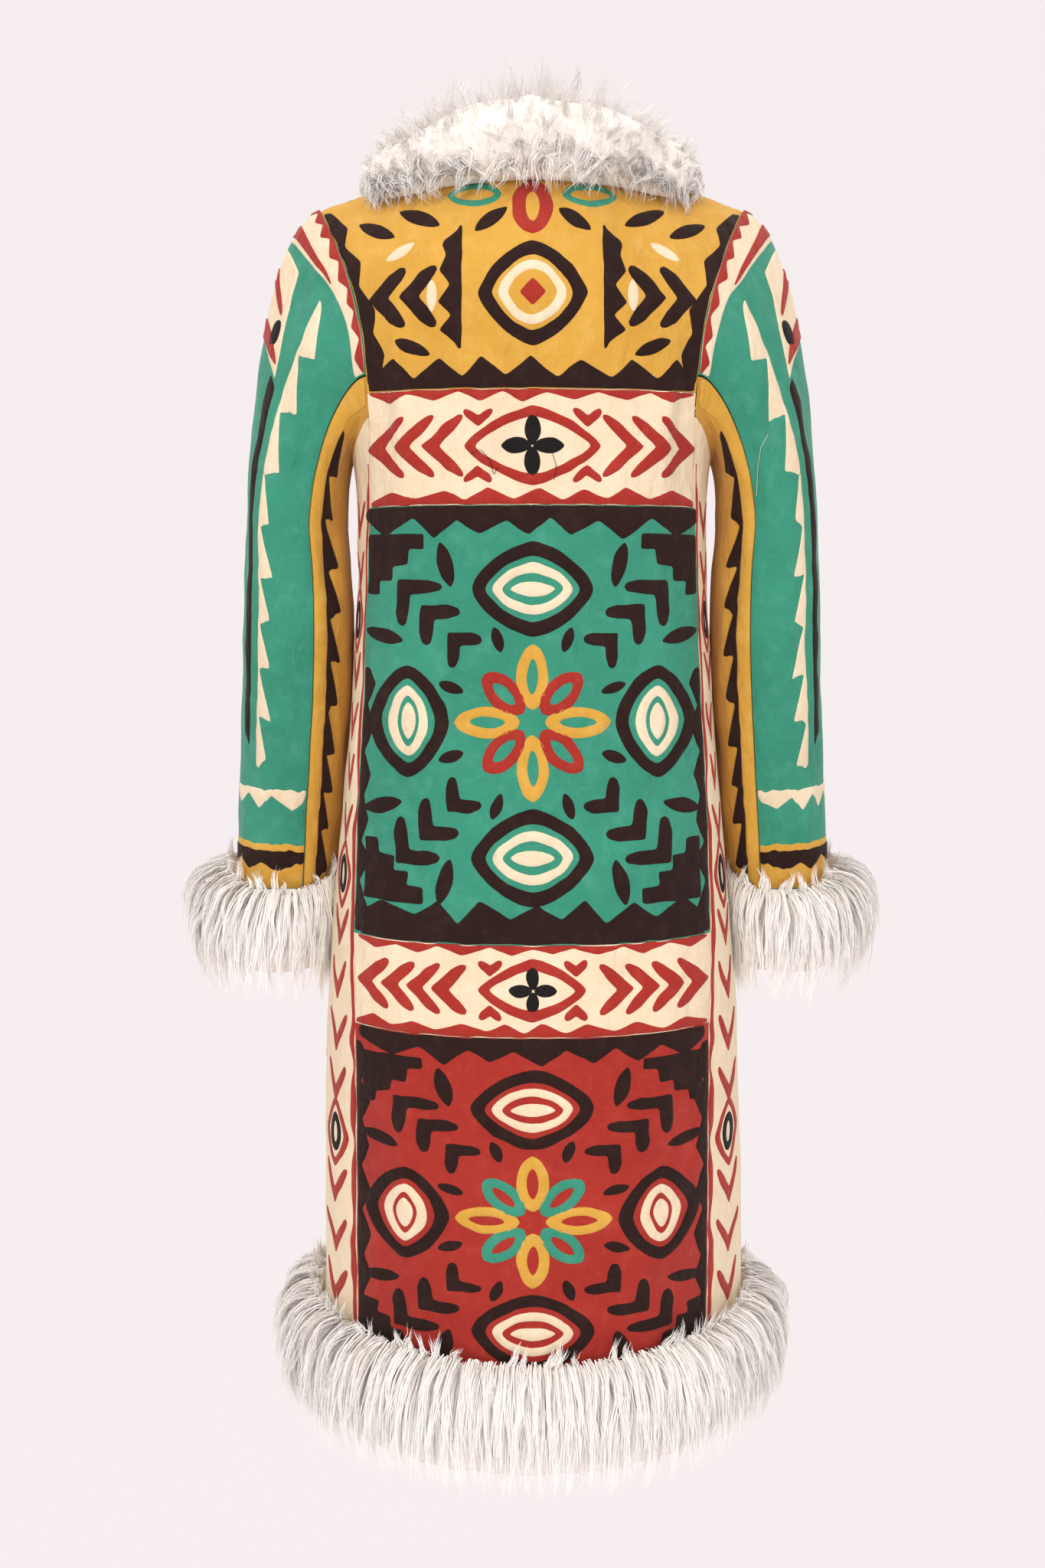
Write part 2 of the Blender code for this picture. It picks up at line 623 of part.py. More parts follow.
def hem_sections():
    """Closed outlines of the hem's fur, from one side of the front opening round to the other."""
    start = FRONT_GAP / 2
    end_turn = np.pi - turn_at(start, np.array(HEM))
    turns = np.linspace(-end_turn, end_turn, HEM_STATIONS + 1)
    sections = []
    for turn in turns:
        mirror = np.array((-1.0 if turn < 0 else 1.0, 1.0, 1.0))
        outline = []
        for point in HEM_FUR:
            place, out = on_side(abs(turn), HEM - point.down)
            outline.append((place + out * (ON_CLOTH + point.out * HEM_FLARE)) * mirror)
        for point in HEM_INSIDE:
            place, out = on_side(abs(turn), HEM - point.down)
            outline.append((place - out * point.inset) * mirror)
        sections.append(outline)
    return np.array(sections)


def make_hem():
    ring("hem_fur", hem_sections(), WHITE_FUR, closed=False)


def collar_value(column, place):
    """One column of the collar's table, at a place from 0, the centre back, to 7, its front end."""
    rows = [Numbered(float(i), getattr(row, column)) for i, row in enumerate(COLLAR)]
    return float(read_table(rows, "number", "value", place))


def collar_section(place):
    """The closed outline of the collar at one place: its foot from the neck out, then its arch back."""
    neck_x, edge_x = collar_value("neck_x", place), collar_value("edge_x", place)
    neck_z, edge_z = collar_value("neck_z", place), collar_value("edge_z", place)
    side = 1 if place < FIRST_ON_FRONT else -1
    foot = []
    for share in COLLAR_FOOT:
        x = neck_x + share * (edge_x - neck_x)
        z = neck_z + share * (edge_z - neck_z)
        x = np.maximum(x, FRONT_GAP / 2) if side < 0 else x
        point, normal = on_body(x, np.minimum(z, ridge(x)), side)
        foot.append(point + normal * COLLAR_CLEAR)
    edge, neck = foot[0], foot[-1]
    out = edge - neck + np.array((0.0, neck[1] * PUFF_BACKWARD, 0.0))
    out[2] = 0.0
    out = unit(out)
    arch = []
    for turn in ARCH:
        chord = edge + (neck - edge) * (1 - np.cos(turn)) / 2
        lean = collar_value("puff", place) * np.sin(turn) ** PUFF_POWER * np.cos(turn / 2) ** 2
        lift = collar_value("rise", place) * np.sin(turn)
        arch.append(chord + out * lean + np.array((0.0, 0.0, lift)))
    return foot[::-1] + arch


def make_collar():
    half = [collar_section(place) for place in np.linspace(0, len(COLLAR) - 1, COLLAR_STATIONS)]
    other = [[mirrored(point) for point in section] for section in half[:0:-1]]
    ring("collar_fur", np.array(other + half), WHITE_FUR, closed=False)


def main():
    for old in list(bpy.data.objects):
        bpy.data.objects.remove(old)
    make_back()
    both_sides(cloth_wall, "side_panel", *side_points(), CREAM)
    both_sides(cloth_wall, "front", *front_points(), GREEN)
    make_sleeves()
    make_collar()
    make_cuffs()
    make_hem()


main()
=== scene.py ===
import functools
import itertools
from collections import namedtuple

import bpy
import numpy as np
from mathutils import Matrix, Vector
from mathutils.geometry import delaunay_2d_cdt


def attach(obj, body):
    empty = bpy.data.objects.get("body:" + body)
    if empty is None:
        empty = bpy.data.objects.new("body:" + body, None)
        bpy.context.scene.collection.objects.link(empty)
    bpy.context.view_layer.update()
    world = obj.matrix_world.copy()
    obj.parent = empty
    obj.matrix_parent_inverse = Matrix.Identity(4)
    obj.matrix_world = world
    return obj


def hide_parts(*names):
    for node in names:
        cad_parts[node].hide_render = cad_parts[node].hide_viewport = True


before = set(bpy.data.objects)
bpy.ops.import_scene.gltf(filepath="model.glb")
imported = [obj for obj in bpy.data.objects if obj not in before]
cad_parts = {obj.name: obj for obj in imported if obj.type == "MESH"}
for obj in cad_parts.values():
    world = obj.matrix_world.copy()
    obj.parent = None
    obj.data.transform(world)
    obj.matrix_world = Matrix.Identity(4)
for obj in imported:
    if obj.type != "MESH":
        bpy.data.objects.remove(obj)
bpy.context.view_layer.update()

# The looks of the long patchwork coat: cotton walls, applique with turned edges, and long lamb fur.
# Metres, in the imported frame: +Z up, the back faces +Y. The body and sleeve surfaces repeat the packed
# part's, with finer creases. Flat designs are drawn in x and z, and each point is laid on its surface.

# Cloth and seams.
CLOTH = 0.0020
WALL = 0.0025
SEAM = 0.0004
FRONT_GAP = 0.0020
ON_CLOTH = 0.0010

# Heights of the seams across the body, from the hem up.
HEM = -1.030
LOWER_BLOCK_TOP = -0.755
LOWER_BAND_TOP = -0.680
MIDDLE_BLOCK_TOP = -0.313
UPPER_BAND_TOP = -0.215
CROSS_SEAMS = (LOWER_BLOCK_TOP, LOWER_BAND_TOP, MIDDLE_BLOCK_TOP, UPPER_BAND_TOP)

# The armhole, the shoulder line and the neckline.
SHOULDER_X = 0.193
ARMHOLE_CORNER = -0.235
UNDERARM = -0.272
RIDGE_TOP = 0.0275
RIDGE_SLOPE = 0.34
RIDGE_ROUND = 0.03
ROLL_HEIGHT = 0.16
ROLL_POWER = 1.7
NECK_X = 0.075
BACK_NECK = -0.020
FRONT_NECK = -0.085
BACK_NECK_POWER = 2.0
FRONT_NECK_POWER = 2.6

# Level sections of the body.
Section = namedtuple("Section", "height half_width back front roundness")
BODY = (
    Section(height=-1.120, half_width=0.1895, back=0.158, front=0.135, roundness=1.95),
    Section(height=-1.030, half_width=0.1885, back=0.157, front=0.134, roundness=1.98),
    Section(height=-0.900, half_width=0.1880, back=0.157, front=0.131, roundness=2.15),
    Section(height=-0.770, half_width=0.1855, back=0.155, front=0.127, roundness=2.35),
    Section(height=-0.660, half_width=0.1780, back=0.143, front=0.122, roundness=2.40),
    Section(height=-0.550, half_width=0.1690, back=0.130, front=0.119, roundness=2.40),
    Section(height=-0.460, half_width=0.1620, back=0.123, front=0.118, roundness=2.40),
    Section(height=-0.350, half_width=0.1580, back=0.122, front=0.119, roundness=2.40),
    Section(height=-0.272, half_width=0.1620, back=0.124, front=0.118, roundness=2.40),
    Section(height=-0.215, half_width=0.1780, back=0.125, front=0.116, roundness=2.40),
    Section(height=-0.150, half_width=0.2050, back=0.125, front=0.113, roundness=2.40),
    Section(height=0.080, half_width=0.2150, back=0.125, front=0.112, roundness=2.40),
)

# The line where the back and front panels end.
Edge = namedtuple("Edge", "height half_width")
PANEL_EDGE = (
    Edge(height=-1.030, half_width=0.150),
    Edge(height=-0.755, half_width=0.152),
    Edge(height=-0.680, half_width=0.154),
    Edge(height=-0.450, half_width=0.148),
    Edge(height=-0.313, half_width=0.144),
    Edge(height=-0.215, half_width=0.1435),
    Edge(height=-0.150, half_width=0.150),
    Edge(height=-0.085, half_width=0.171),
    Edge(height=-0.0389, half_width=0.193),
)

# Creases of the body: side 1 is the back. Lean is in degrees from upright, and a negative
# depth goes inward. The upright ones are the imported part's own folds.
Crease = namedtuple("Crease", "side x z length width depth lean")
CREASES = (
    Crease(side=1, x=-0.134, z=-0.230, length=0.240, width=0.011, depth=-0.0040, lean=0),
    Crease(side=1, x=-0.114, z=-0.245, length=0.250, width=0.014, depth=0.0020, lean=0),
    Crease(side=1, x=0.132, z=-0.230, length=0.200, width=0.011, depth=-0.0035, lean=0),
    Crease(side=1, x=0.113, z=-0.245, length=0.210, width=0.014, depth=0.0018, lean=0),
    Crease(side=1, x=-0.098, z=-0.915, length=0.230, width=0.026, depth=0.0030, lean=0),
    Crease(side=1, x=0.060, z=-0.935, length=0.190, width=0.030, depth=-0.0028, lean=0),
    Crease(side=-1, x=-0.120, z=-0.230, length=0.220, width=0.013, depth=-0.0035, lean=0),
    Crease(side=-1, x=0.122, z=-0.225, length=0.210, width=0.013, depth=-0.0030, lean=0),
    Crease(side=-1, x=0.085, z=-0.905, length=0.250, width=0.026, depth=0.0028, lean=0),
    Crease(side=-1, x=-0.070, z=-0.925, length=0.210, width=0.028, depth=-0.0026, lean=0),
    Crease(side=1, x=-0.127, z=-0.250, length=0.130, width=0.0068, depth=-0.0028, lean=-4),
    Crease(side=1, x=-0.121, z=-0.205, length=0.100, width=0.0070, depth=0.0018, lean=-8),
    Crease(side=1, x=0.125, z=-0.240, length=0.110, width=0.0068, depth=-0.0025, lean=5),
    Crease(side=1, x=0.104, z=-0.165, length=0.080, width=0.0060, depth=-0.0011, lean=18),
    Crease(side=1, x=-0.092, z=-0.170, length=0.090, width=0.0060, depth=-0.0012, lean=-22),
    Crease(side=1, x=0.045, z=-0.120, length=0.110, width=0.0090, depth=-0.0010, lean=9),
    Crease(side=1, x=-0.030, z=-0.150, length=0.120, width=0.0100, depth=0.0009, lean=-6),
    Crease(side=1, x=0.080, z=-0.420, length=0.150, width=0.0090, depth=-0.0012, lean=12),
    Crease(side=1, x=-0.085, z=-0.460, length=0.170, width=0.0110, depth=-0.0013, lean=-10),
    Crease(side=1, x=-0.110, z=-0.600, length=0.140, width=0.0100, depth=0.0012, lean=6),
    Crease(side=1, x=0.105, z=-0.620, length=0.160, width=0.0110, depth=-0.0013, lean=-5),
    Crease(side=1, x=0.020, z=-0.660, length=0.120, width=0.0120, depth=-0.0009, lean=14),
    Crease(side=1, x=-0.045, z=-0.820, length=0.170, width=0.0130, depth=-0.0014, lean=-7),
    Crease(side=1, x=0.110, z=-0.860, length=0.220, width=0.0120, depth=0.0016, lean=4),
    Crease(side=1, x=0.010, z=-0.960, length=0.140, width=0.0120, depth=0.0012, lean=3),
    Crease(side=-1, x=0.060, z=-0.190, length=0.130, width=0.0080, depth=-0.0014, lean=16),
    Crease(side=-1, x=-0.065, z=-0.210, length=0.120, width=0.0080, depth=-0.0013, lean=-18),
    Crease(side=-1, x=0.100, z=-0.480, length=0.180, width=0.0110, depth=-0.0014, lean=8),
    Crease(side=-1, x=-0.090, z=-0.560, length=0.200, width=0.0120, depth=0.0013, lean=-6),
    Crease(side=-1, x=0.050, z=-0.760, length=0.180, width=0.0120, depth=-0.0012, lean=-9),
    Crease(side=-1, x=-0.110, z=-0.870, length=0.210, width=0.0130, depth=-0.0015, lean=5),
)

# Creases of a sleeve: angle round the arm, distance down from the armhole, and sizes in metres.
SleeveCrease = namedtuple("SleeveCrease", "hand angle down length width depth lean")
SLEEVE_CREASES = (
    SleeveCrease(hand=1, angle=60, down=0.110, length=0.120, width=0.006, depth=-0.0016, lean=4),
    SleeveCrease(hand=1, angle=82, down=0.120, length=0.150, width=0.008, depth=0.0014, lean=-5),
    SleeveCrease(hand=1, angle=98, down=0.095, length=0.130, width=0.006, depth=-0.0020, lean=-8),
    SleeveCrease(hand=1, angle=38, down=0.060, length=0.070, width=0.006, depth=-0.0010, lean=0),
    SleeveCrease(hand=1, angle=72, down=0.270, length=0.120, width=0.009, depth=-0.0012, lean=10),
    SleeveCrease(hand=1, angle=128, down=0.160, length=0.150, width=0.007, depth=-0.0022, lean=6),
    SleeveCrease(hand=1, angle=150, down=0.130, length=0.120, width=0.007, depth=0.0018, lean=-4),
    SleeveCrease(hand=1, angle=135, down=0.270, length=0.090, width=0.006, depth=-0.0016, lean=24),
    SleeveCrease(hand=1, angle=240, down=0.200, length=0.140, width=0.008, depth=-0.0020, lean=-12),
    SleeveCrease(hand=1, angle=300, down=0.150, length=0.130, width=0.009, depth=-0.0016, lean=6),
    SleeveCrease(hand=1, angle=275, down=0.300, length=0.100, width=0.009, depth=-0.0018, lean=28),
    SleeveCrease(hand=-1, angle=55, down=0.100, length=0.140, width=0.007, depth=-0.0014, lean=-3),
    SleeveCrease(hand=-1, angle=76, down=0.130, length=0.170, width=0.008, depth=-0.0017, lean=4),
    SleeveCrease(hand=-1, angle=93, down=0.110, length=0.150, width=0.007, depth=0.0016, lean=6),
    SleeveCrease(hand=-1, angle=104, down=0.120, length=0.110, width=0.006, depth=-0.0018, lean=3),
    SleeveCrease(hand=-1, angle=66, down=0.330, length=0.110, width=0.010, depth=-0.0011, lean=-12),
    SleeveCrease(hand=-1, angle=130, down=0.150, length=0.140, width=0.007, depth=-0.0020, lean=-5),
    SleeveCrease(hand=-1, angle=146, down=0.200, length=0.120, width=0.007, depth=0.0016, lean=8),
    SleeveCrease(hand=-1, angle=250, down=0.180, length=0.150, width=0.008, depth=-0.0019, lean=9),
    SleeveCrease(hand=-1, angle=310, down=0.140, length=0.120, width=0.009, depth=-0.0015, lean=-7),
    SleeveCrease(hand=-1, angle=282, down=0.290, length=0.100, width=0.009, depth=-0.0017, lean=-26),
)

# Level sections of the left sleeve.
SLEEVE_START = -0.330
SLEEVE_END = -0.655
SleeveSection = namedtuple("SleeveSection", "height outer_x clear centre_y half_depth")
SLEEVE = (
    SleeveSection(height=-0.750, outer_x=0.2740, clear=0.0030, centre_y=-0.038, half_depth=0.049),
    SleeveSection(height=-0.655, outer_x=0.2715, clear=0.0024, centre_y=-0.030, half_depth=0.050),
    SleeveSection(height=-0.600, outer_x=0.2710, clear=0.0022, centre_y=-0.024, half_depth=0.052),
    SleeveSection(height=-0.520, outer_x=0.2665, clear=0.0022, centre_y=-0.014, half_depth=0.056),
    SleeveSection(height=-0.440, outer_x=0.2635, clear=0.0026, centre_y=-0.005, half_depth=0.060),
    SleeveSection(height=-0.380, outer_x=0.2615, clear=0.0060, centre_y=-0.001, half_depth=0.063),
    SleeveSection(height=-0.330, outer_x=0.2590, clear=0.0110, centre_y=0.000, half_depth=0.065),
)
ARM_ROUNDNESS = 2.2
SEAM_ANGLE = 112.0
Leave = namedtuple("Leave", "angle out up")
SLEEVE_HEAD = (
    Leave(angle=0.0, out=0.052, up=0.098),
    Leave(angle=60.0, out=0.036, up=0.080),
    Leave(angle=120.0, out=0.020, up=0.070),
    Leave(angle=180.0, out=0.016, up=0.066),
)

# Half of the collar, from the centre back round to its end at the front.
Collar = namedtuple("Collar", "side neck_x neck_z edge_x edge_z rise puff")
COLLAR = (
    Collar(side=1, neck_x=0.000, neck_z=-0.020, edge_x=0.000, edge_z=-0.030, rise=0.088, puff=0.066),
    Collar(side=1, neck_x=0.040, neck_z=-0.0155, edge_x=0.072, edge_z=-0.033, rise=0.076, puff=0.058),
    Collar(side=1, neck_x=0.066, neck_z=-0.006, edge_x=0.124, edge_z=-0.039, rise=0.054, puff=0.038),
    Collar(side=1, neck_x=0.075, neck_z=0.002, edge_x=0.144, edge_z=-0.022, rise=0.042, puff=0.026),
    Collar(side=-1, neck_x=0.070, neck_z=-0.030, edge_x=0.145, edge_z=-0.072, rise=0.040, puff=0.040),
    Collar(side=-1, neck_x=0.048, neck_z=-0.065, edge_x=0.118, edge_z=-0.130, rise=0.034, puff=0.056),
    Collar(side=-1, neck_x=0.022, neck_z=-0.0812, edge_x=0.068, edge_z=-0.164, rise=0.030, puff=0.064),
    Collar(side=-1, neck_x=0.006, neck_z=-0.0847, edge_x=0.012, edge_z=-0.158, rise=0.026, puff=0.056),
)
COLLAR_FOOT = (1.0, 0.84, 0.68, 0.50, 0.32, 0.15, 0.0)
COLLAR_CLEAR = 0.0022

# Outlines of the fur at the cuffs and the hem: out from the cloth, and down from the cloth's end.
FurPoint = namedtuple("FurPoint", "out down")
CUFF_FUR = (
    FurPoint(out=0.10, down=-0.024),
    FurPoint(out=0.42, down=-0.026),
    FurPoint(out=0.80, down=-0.006),
    FurPoint(out=1.00, down=0.022),
    FurPoint(out=0.96, down=0.050),
    FurPoint(out=0.70, down=0.080),
    FurPoint(out=0.34, down=0.097),
)
HEM_FUR = (
    FurPoint(out=0.08, down=-0.026),
    FurPoint(out=0.34, down=-0.030),
    FurPoint(out=0.72, down=-0.012),
    FurPoint(out=0.94, down=0.016),
    FurPoint(out=1.00, down=0.040),
    FurPoint(out=0.78, down=0.066),
    FurPoint(out=0.36, down=0.082),
)
CUFF_FLARE = 0.049
CUFF_SIDE_FLARE = 0.030
CUFF_SAG = 0.021
HEM_FLARE = 0.043
HEM_SAG = 0.012

# Fine mesh of the cloth.
GRID = 0.0052
BLOCK_WIDTH = 0.30
APPLIQUE_STEP = 0.0032
APPLIQUE_GRID = 0.0054
APPLIQUE_EDGE = 0.0010
APPLIQUE_LIFT = 0.00055
EDGE_WOBBLE = 0.0007


def read_table(rows, key, column, at):
    """One column of a table as a smooth curve along its key column, read at the given places."""
    rows = sorted(rows, key=lambda row: getattr(row, key))
    keys = np.array([getattr(row, key) for row in rows])
    values = np.array([getattr(row, column) for row in rows])
    slopes = np.gradient(values, keys)
    at = np.clip(np.asarray(at, float), keys[0], keys[-1])
    i = np.clip(np.searchsorted(keys, at) - 1, 0, len(keys) - 2)
    step = keys[i + 1] - keys[i]
    t = (at - keys[i]) / step
    start = (1 + 2 * t) * (1 - t) ** 2 * values[i] + t * (1 - t) ** 2 * step * slopes[i]
    end = t * t * (3 - 2 * t) * values[i + 1] + t * t * (t - 1) * step * slopes[i + 1]
    return start + end


def cell_number(cells, seed):
    """A repeatable number from -1 to 1 for each cell of whole numbers."""
    mixed = np.full(cells.shape[:-1], seed * 7919 + 1, dtype=np.uint64)
    for axis in range(cells.shape[-1]):
        part = cells[..., axis].astype(np.int64).astype(np.uint64)
        mixed = (mixed ^ (part * np.uint64(0x9E3779B97F4A7C15))) * np.uint64(0xBF58476D1CE4E5B9)
        mixed ^= mixed >> np.uint64(31)
    return (mixed % np.uint64(65521)).astype(float) / 32760 - 1


def noise(places, size, seed):
    """Smooth noise from -1 to 1 whose features are about that size."""
    scaled = np.asarray(places, float) / np.asarray(size, float)
    base = np.floor(scaled)
    t = scaled - base
    t = t * t * (3 - 2 * t)
    total = np.zeros(scaled.shape[:-1])
    for corner in itertools.product((0, 1), repeat=scaled.shape[-1]):
        weight = np.ones(total.shape)
        for axis, there in enumerate(corner):
            weight = weight * (t[..., axis] if there else 1 - t[..., axis])
        total += weight * cell_number(base.astype(np.int64) + np.array(corner), seed)
    return total


def half_width(z):
    return read_table(BODY, "height", "half_width", z)


def depth(z, side):
    behind = read_table(BODY, "height", "back", z)
    before = read_table(BODY, "height", "front", z)
    return np.where(np.asarray(side) > 0, behind, before)


def roundness(z):
    return read_table(BODY, "height", "roundness", z)


def panel_edge(z):
    return read_table(PANEL_EDGE, "height", "half_width", z)


def ridge(x):
    """The height of the shoulder line."""
    return RIDGE_TOP - RIDGE_SLOPE * np.sqrt(np.square(x) + RIDGE_ROUND**2)


def neckline(x, side):
    """The height of the neckline, which is flat at the centre and meets the shoulder line at its ends."""
    low = BACK_NECK if side > 0 else FRONT_NECK
    power = BACK_NECK_POWER if side > 0 else FRONT_NECK_POWER
    share = np.minimum(np.abs(x) / NECK_X, 1)
    return low + (ridge(NECK_X) - low) * share**power


def reach(x, z, side):
    """How far the level section stands from the side plane, before the roll up to the shoulders."""
    share = np.minimum(np.abs(x) / half_width(z), 0.99999)
    power = roundness(z)
    return depth(z, side) * (1 - share**power) ** (1 / power)


def climb(x, z):
    """0 below the roll and 1 on the shoulder line."""
    return np.maximum((z - ridge(x) + ROLL_HEIGHT) / ROLL_HEIGHT, 0)


def shell_y(x, z, side):
    rolled = (1 - np.minimum(climb(x, z), 1) ** ROLL_POWER) ** (1 / ROLL_POWER)
    return side * np.maximum(reach(x, z, side) * rolled, SEAM / 2)


def shell_field(x, y, z, side):
    """Zero on the body's surface and growing outward."""
    return (np.abs(y) / reach(x, z, side)) ** ROLL_POWER + climb(x, z) ** ROLL_POWER - 1


def unit(vectors):
    return vectors / np.maximum(np.linalg.norm(vectors, axis=-1, keepdims=True), 1e-12)


def shell_normal(points, side):
    step = 1e-5
    x, y, z = points[..., 0], points[..., 1], points[..., 2]
    slopes = (
        shell_field(x + step, y, z, side) - shell_field(x - step, y, z, side),
        shell_field(x, y + step, z, side) - shell_field(x, y - step, z, side),
        shell_field(x, y, z + step, side) - shell_field(x, y, z - step, side),
    )
    return unit(np.stack(slopes, axis=-1))


def crease_shape(across, along, crease):
    """A trough or ridge with soft ends, and a lower one of the other sign beside a narrow one."""
    ends = np.clip(1 - (along / (crease.length / 2)) ** 2, 0, 1) ** 1.5
    shape = np.exp(-((across / crease.width) ** 2))
    if crease.width < 0.0095:
        shape = shape - 0.45 * np.exp(-(((across - 2.1 * crease.width) / crease.width) ** 2))
    return crease.depth * ends * shape


def leaning(dx, dz, lean):
    turn = np.radians(lean)
    across = dx * np.cos(turn) - dz * np.sin(turn)
    along = dx * np.sin(turn) + dz * np.cos(turn)
    return across, along


def pucker(places, seed):
    """Small unevenness of the cotton: upright ripples and rounder dents."""
    ripples = noise(places, (0.012, 0.036), seed) * 0.00062
    dents = noise(places, (0.027, 0.031), seed + 5) * 0.00080
    return ripples + dents + noise(places, (0.0075, 0.012), seed + 9) * 0.00020


def seam_dip(x, z):
    """The cloth draws in a little at its seams."""
    dip = np.zeros(np.shape(x))
    for height in CROSS_SEAMS:
        dip += np.exp(-(((z - height) / 0.0026) ** 2))
    dip += np.exp(-(((np.abs(x) - panel_edge(z)) / 0.0030) ** 2))
    return -0.0008 * np.minimum(dip, 1)


def body_relief(x, z, side):
    total = pucker(np.stack((x, z), axis=-1), 11 if side > 0 else 31) + seam_dip(x, z)
    for crease in CREASES:
        if crease.side == side:
            total = total + crease_shape(*leaning(x - crease.x, z - crease.z, crease.lean), crease)
    return total


def on_body(x, z, side):
    """Points of the back (side 1) or the front (side -1), with the way out from the cloth there."""
    x, z = np.broadcast_arrays(np.asarray(x, float), np.asarray(z, float))
    points = np.stack((x, shell_y(x, z, side), z), axis=-1)
    normals = shell_normal(points, side)
    return points + normals * body_relief(x, z, side)[..., None], normals


def on_round(turn, z):
    """Points round the body: turn is 0 at the centre back and pi at the centre front."""
    turn, z = np.broadcast_arrays(np.asarray(turn, float), np.asarray(z, float))
    side = np.where(turn <= np.pi / 2, 1, -1)
    wide, deep, power = half_width(z), depth(z, side), roundness(z)
    x = wide * np.abs(np.sin(turn)) ** (2 / power)
    y = side * deep * np.abs(np.cos(turn)) ** (2 / power)
    flat = np.stack(
        (
            (x / wide) ** (power - 1) / wide,
            side * (np.abs(y) / deep) ** (power - 1) / deep,
            np.zeros(np.shape(x)),
        ),
        axis=-1,
    )
    return np.stack((x, y, z), axis=-1), unit(flat)


def turn_at(x, z):
    """The turn at which the level section reaches the width x."""
    return np.arcsin(np.clip(x / half_width(z), 0, 1) ** (roundness(z) / 2))


def on_side(across, z, hand):
    """Points of a side panel: across runs from -1 at its back seam to 1 at its front seam."""
    across, z = np.broadcast_arrays(np.asarray(across, float), np.asarray(z, float))
    turn = turn_at(panel_edge(z) + SEAM / 2, z)
    points, normals = on_round(np.pi / 2 + across * (np.pi / 2 - turn), z)
    relief = pucker(np.stack((across * 0.06, z), axis=-1), 47 if hand > 0 else 53)
    relief = relief - 0.0008 * np.exp(-(((1 - np.abs(across)) / 0.05) ** 2))
    folds = 0.0013 * np.sin(across * 5 + z * 9 + hand) * np.clip((-0.5 - z) / 0.3, 0, 1)
    points = points + normals * (relief + folds * (1 - across**2))[..., None]
    flip = np.array((hand, 1.0, 1.0))
    return points * flip, normals * flip


def arm_surface(angle, z, inset):
    """Points round the left arm at a height, drawn in by the inset."""
    outer = read_table(SLEEVE, "height", "outer_x", z) - inset
    inner = half_width(z) + read_table(SLEEVE, "height", "clear", z) + inset
    deep = read_table(SLEEVE, "height", "half_depth", z) - inset
    power = 2 / ARM_ROUNDNESS
    cos, sin = np.cos(np.radians(angle)), np.sin(np.radians(angle))
    x = (outer + inner) / 2 + (outer - inner) / 2 * np.sign(cos) * np.abs(cos) ** power
    y = read_table(SLEEVE, "height", "centre_y", z) + deep * np.sign(sin) * np.abs(sin) ** power
    return np.stack(np.broadcast_arrays(x, y, z), axis=-1)


def armhole():
    """The left armhole as a closed loop: from the shoulder down the back, under the arm, up the front."""
    drop = np.linspace(0, 1, 46) ** 1.6
    z = ridge(SHOULDER_X) + drop * (ARMHOLE_CORNER - ridge(SHOULDER_X))
    back = shell_y(panel_edge(z) - SEAM / 2, z, 1)
    front = shell_y(panel_edge(z) - SEAM / 2, z, -1)
    x = panel_edge(z) - SEAM / 2
    down = np.stack((x, back, z), axis=-1)
    up = np.stack((x, front, z), axis=-1)
    across = np.linspace(-1, 1, 30)[1:-1]
    under_z = UNDERARM + (ARMHOLE_CORNER - UNDERARM) * across**2
    turn = turn_at(panel_edge(under_z) + SEAM / 2, under_z)
    under, under_normals = on_round(np.pi / 2 + across * (np.pi / 2 - turn), under_z)
    points = np.concatenate((down, under, up[::-1][:-1]))
    ways = (shell_normal(down, 1), under_normals, shell_normal(up, -1)[::-1][:-1])
    normals = np.concatenate(ways)
    points[0, 1] = 0.0
    normals[0, 1] = 0.0
    return points, unit(normals)


def arm_angles(points):
    """An angle round the arm for each point of the armhole: 0 on top and 180 under the arm."""
    lengths = np.linalg.norm(np.roll(points, -1, axis=0) - points, axis=1)
    walked = np.concatenate(([0.0], np.cumsum(lengths)))
    under = int(np.argmin(points[:, 2]))
    first = 180 * walked[: under + 1] / walked[under]
    rest = 180 + 180 * (walked[under + 1 : -1] - walked[under]) / (walked[-1] - walked[under])
    return np.concatenate((first, rest))


def sleeve_path(start, away, angle, along):
    """The middle of the sleeve's wall: a curve from the armhole to the arm, then down the arm."""
    lean = np.abs((angle + 180) % 360 - 180)[:, None]
    out = read_table(SLEEVE_HEAD, "angle", "out", lean)
    up = read_table(SLEEVE_HEAD, "angle", "up", lean)
    landing = arm_surface(angle, np.full(np.shape(angle), SLEEVE_START), WALL / 2)
    above = landing + up * np.array((0.0, 0.0, 1.0))
    t = np.clip(along, 0, 1)
    curve = (1 - t) ** 3 * start + 3 * (1 - t) ** 2 * t * (start + away * out)
    curve = curve + 3 * (1 - t) * t * t * above + t**3 * landing
    if along <= 1:
        return curve
    z = SLEEVE_START + (along - 1) * (SLEEVE_END - SLEEVE_START)
    return arm_surface(angle, np.full(np.shape(angle), z), WALL / 2)


def between(keys, at):
    """Fractional places of values among sorted keys."""
    i = np.clip(np.searchsorted(keys, at, side="right") - 1, 0, len(keys) - 2)
    return i + np.clip((at - keys[i]) / (keys[i + 1] - keys[i]), 0, 1)


def bilinear(table, row, column):
    """A table read between its rows and columns, at fractional places."""
    r = np.clip(np.floor(row).astype(int), 0, table.shape[0] - 2)
    c = np.clip(np.floor(column).astype(int), 0, table.shape[1] - 2)
    t, s = row - r, column - c
    if table.ndim == 3:
        t, s = t[..., None], s[..., None]
    low = table[r, c] * (1 - s) + table[r, c + 1] * s
    high = table[r + 1, c] * (1 - s) + table[r + 1, c + 1] * s
    return low * (1 - t) + high * t


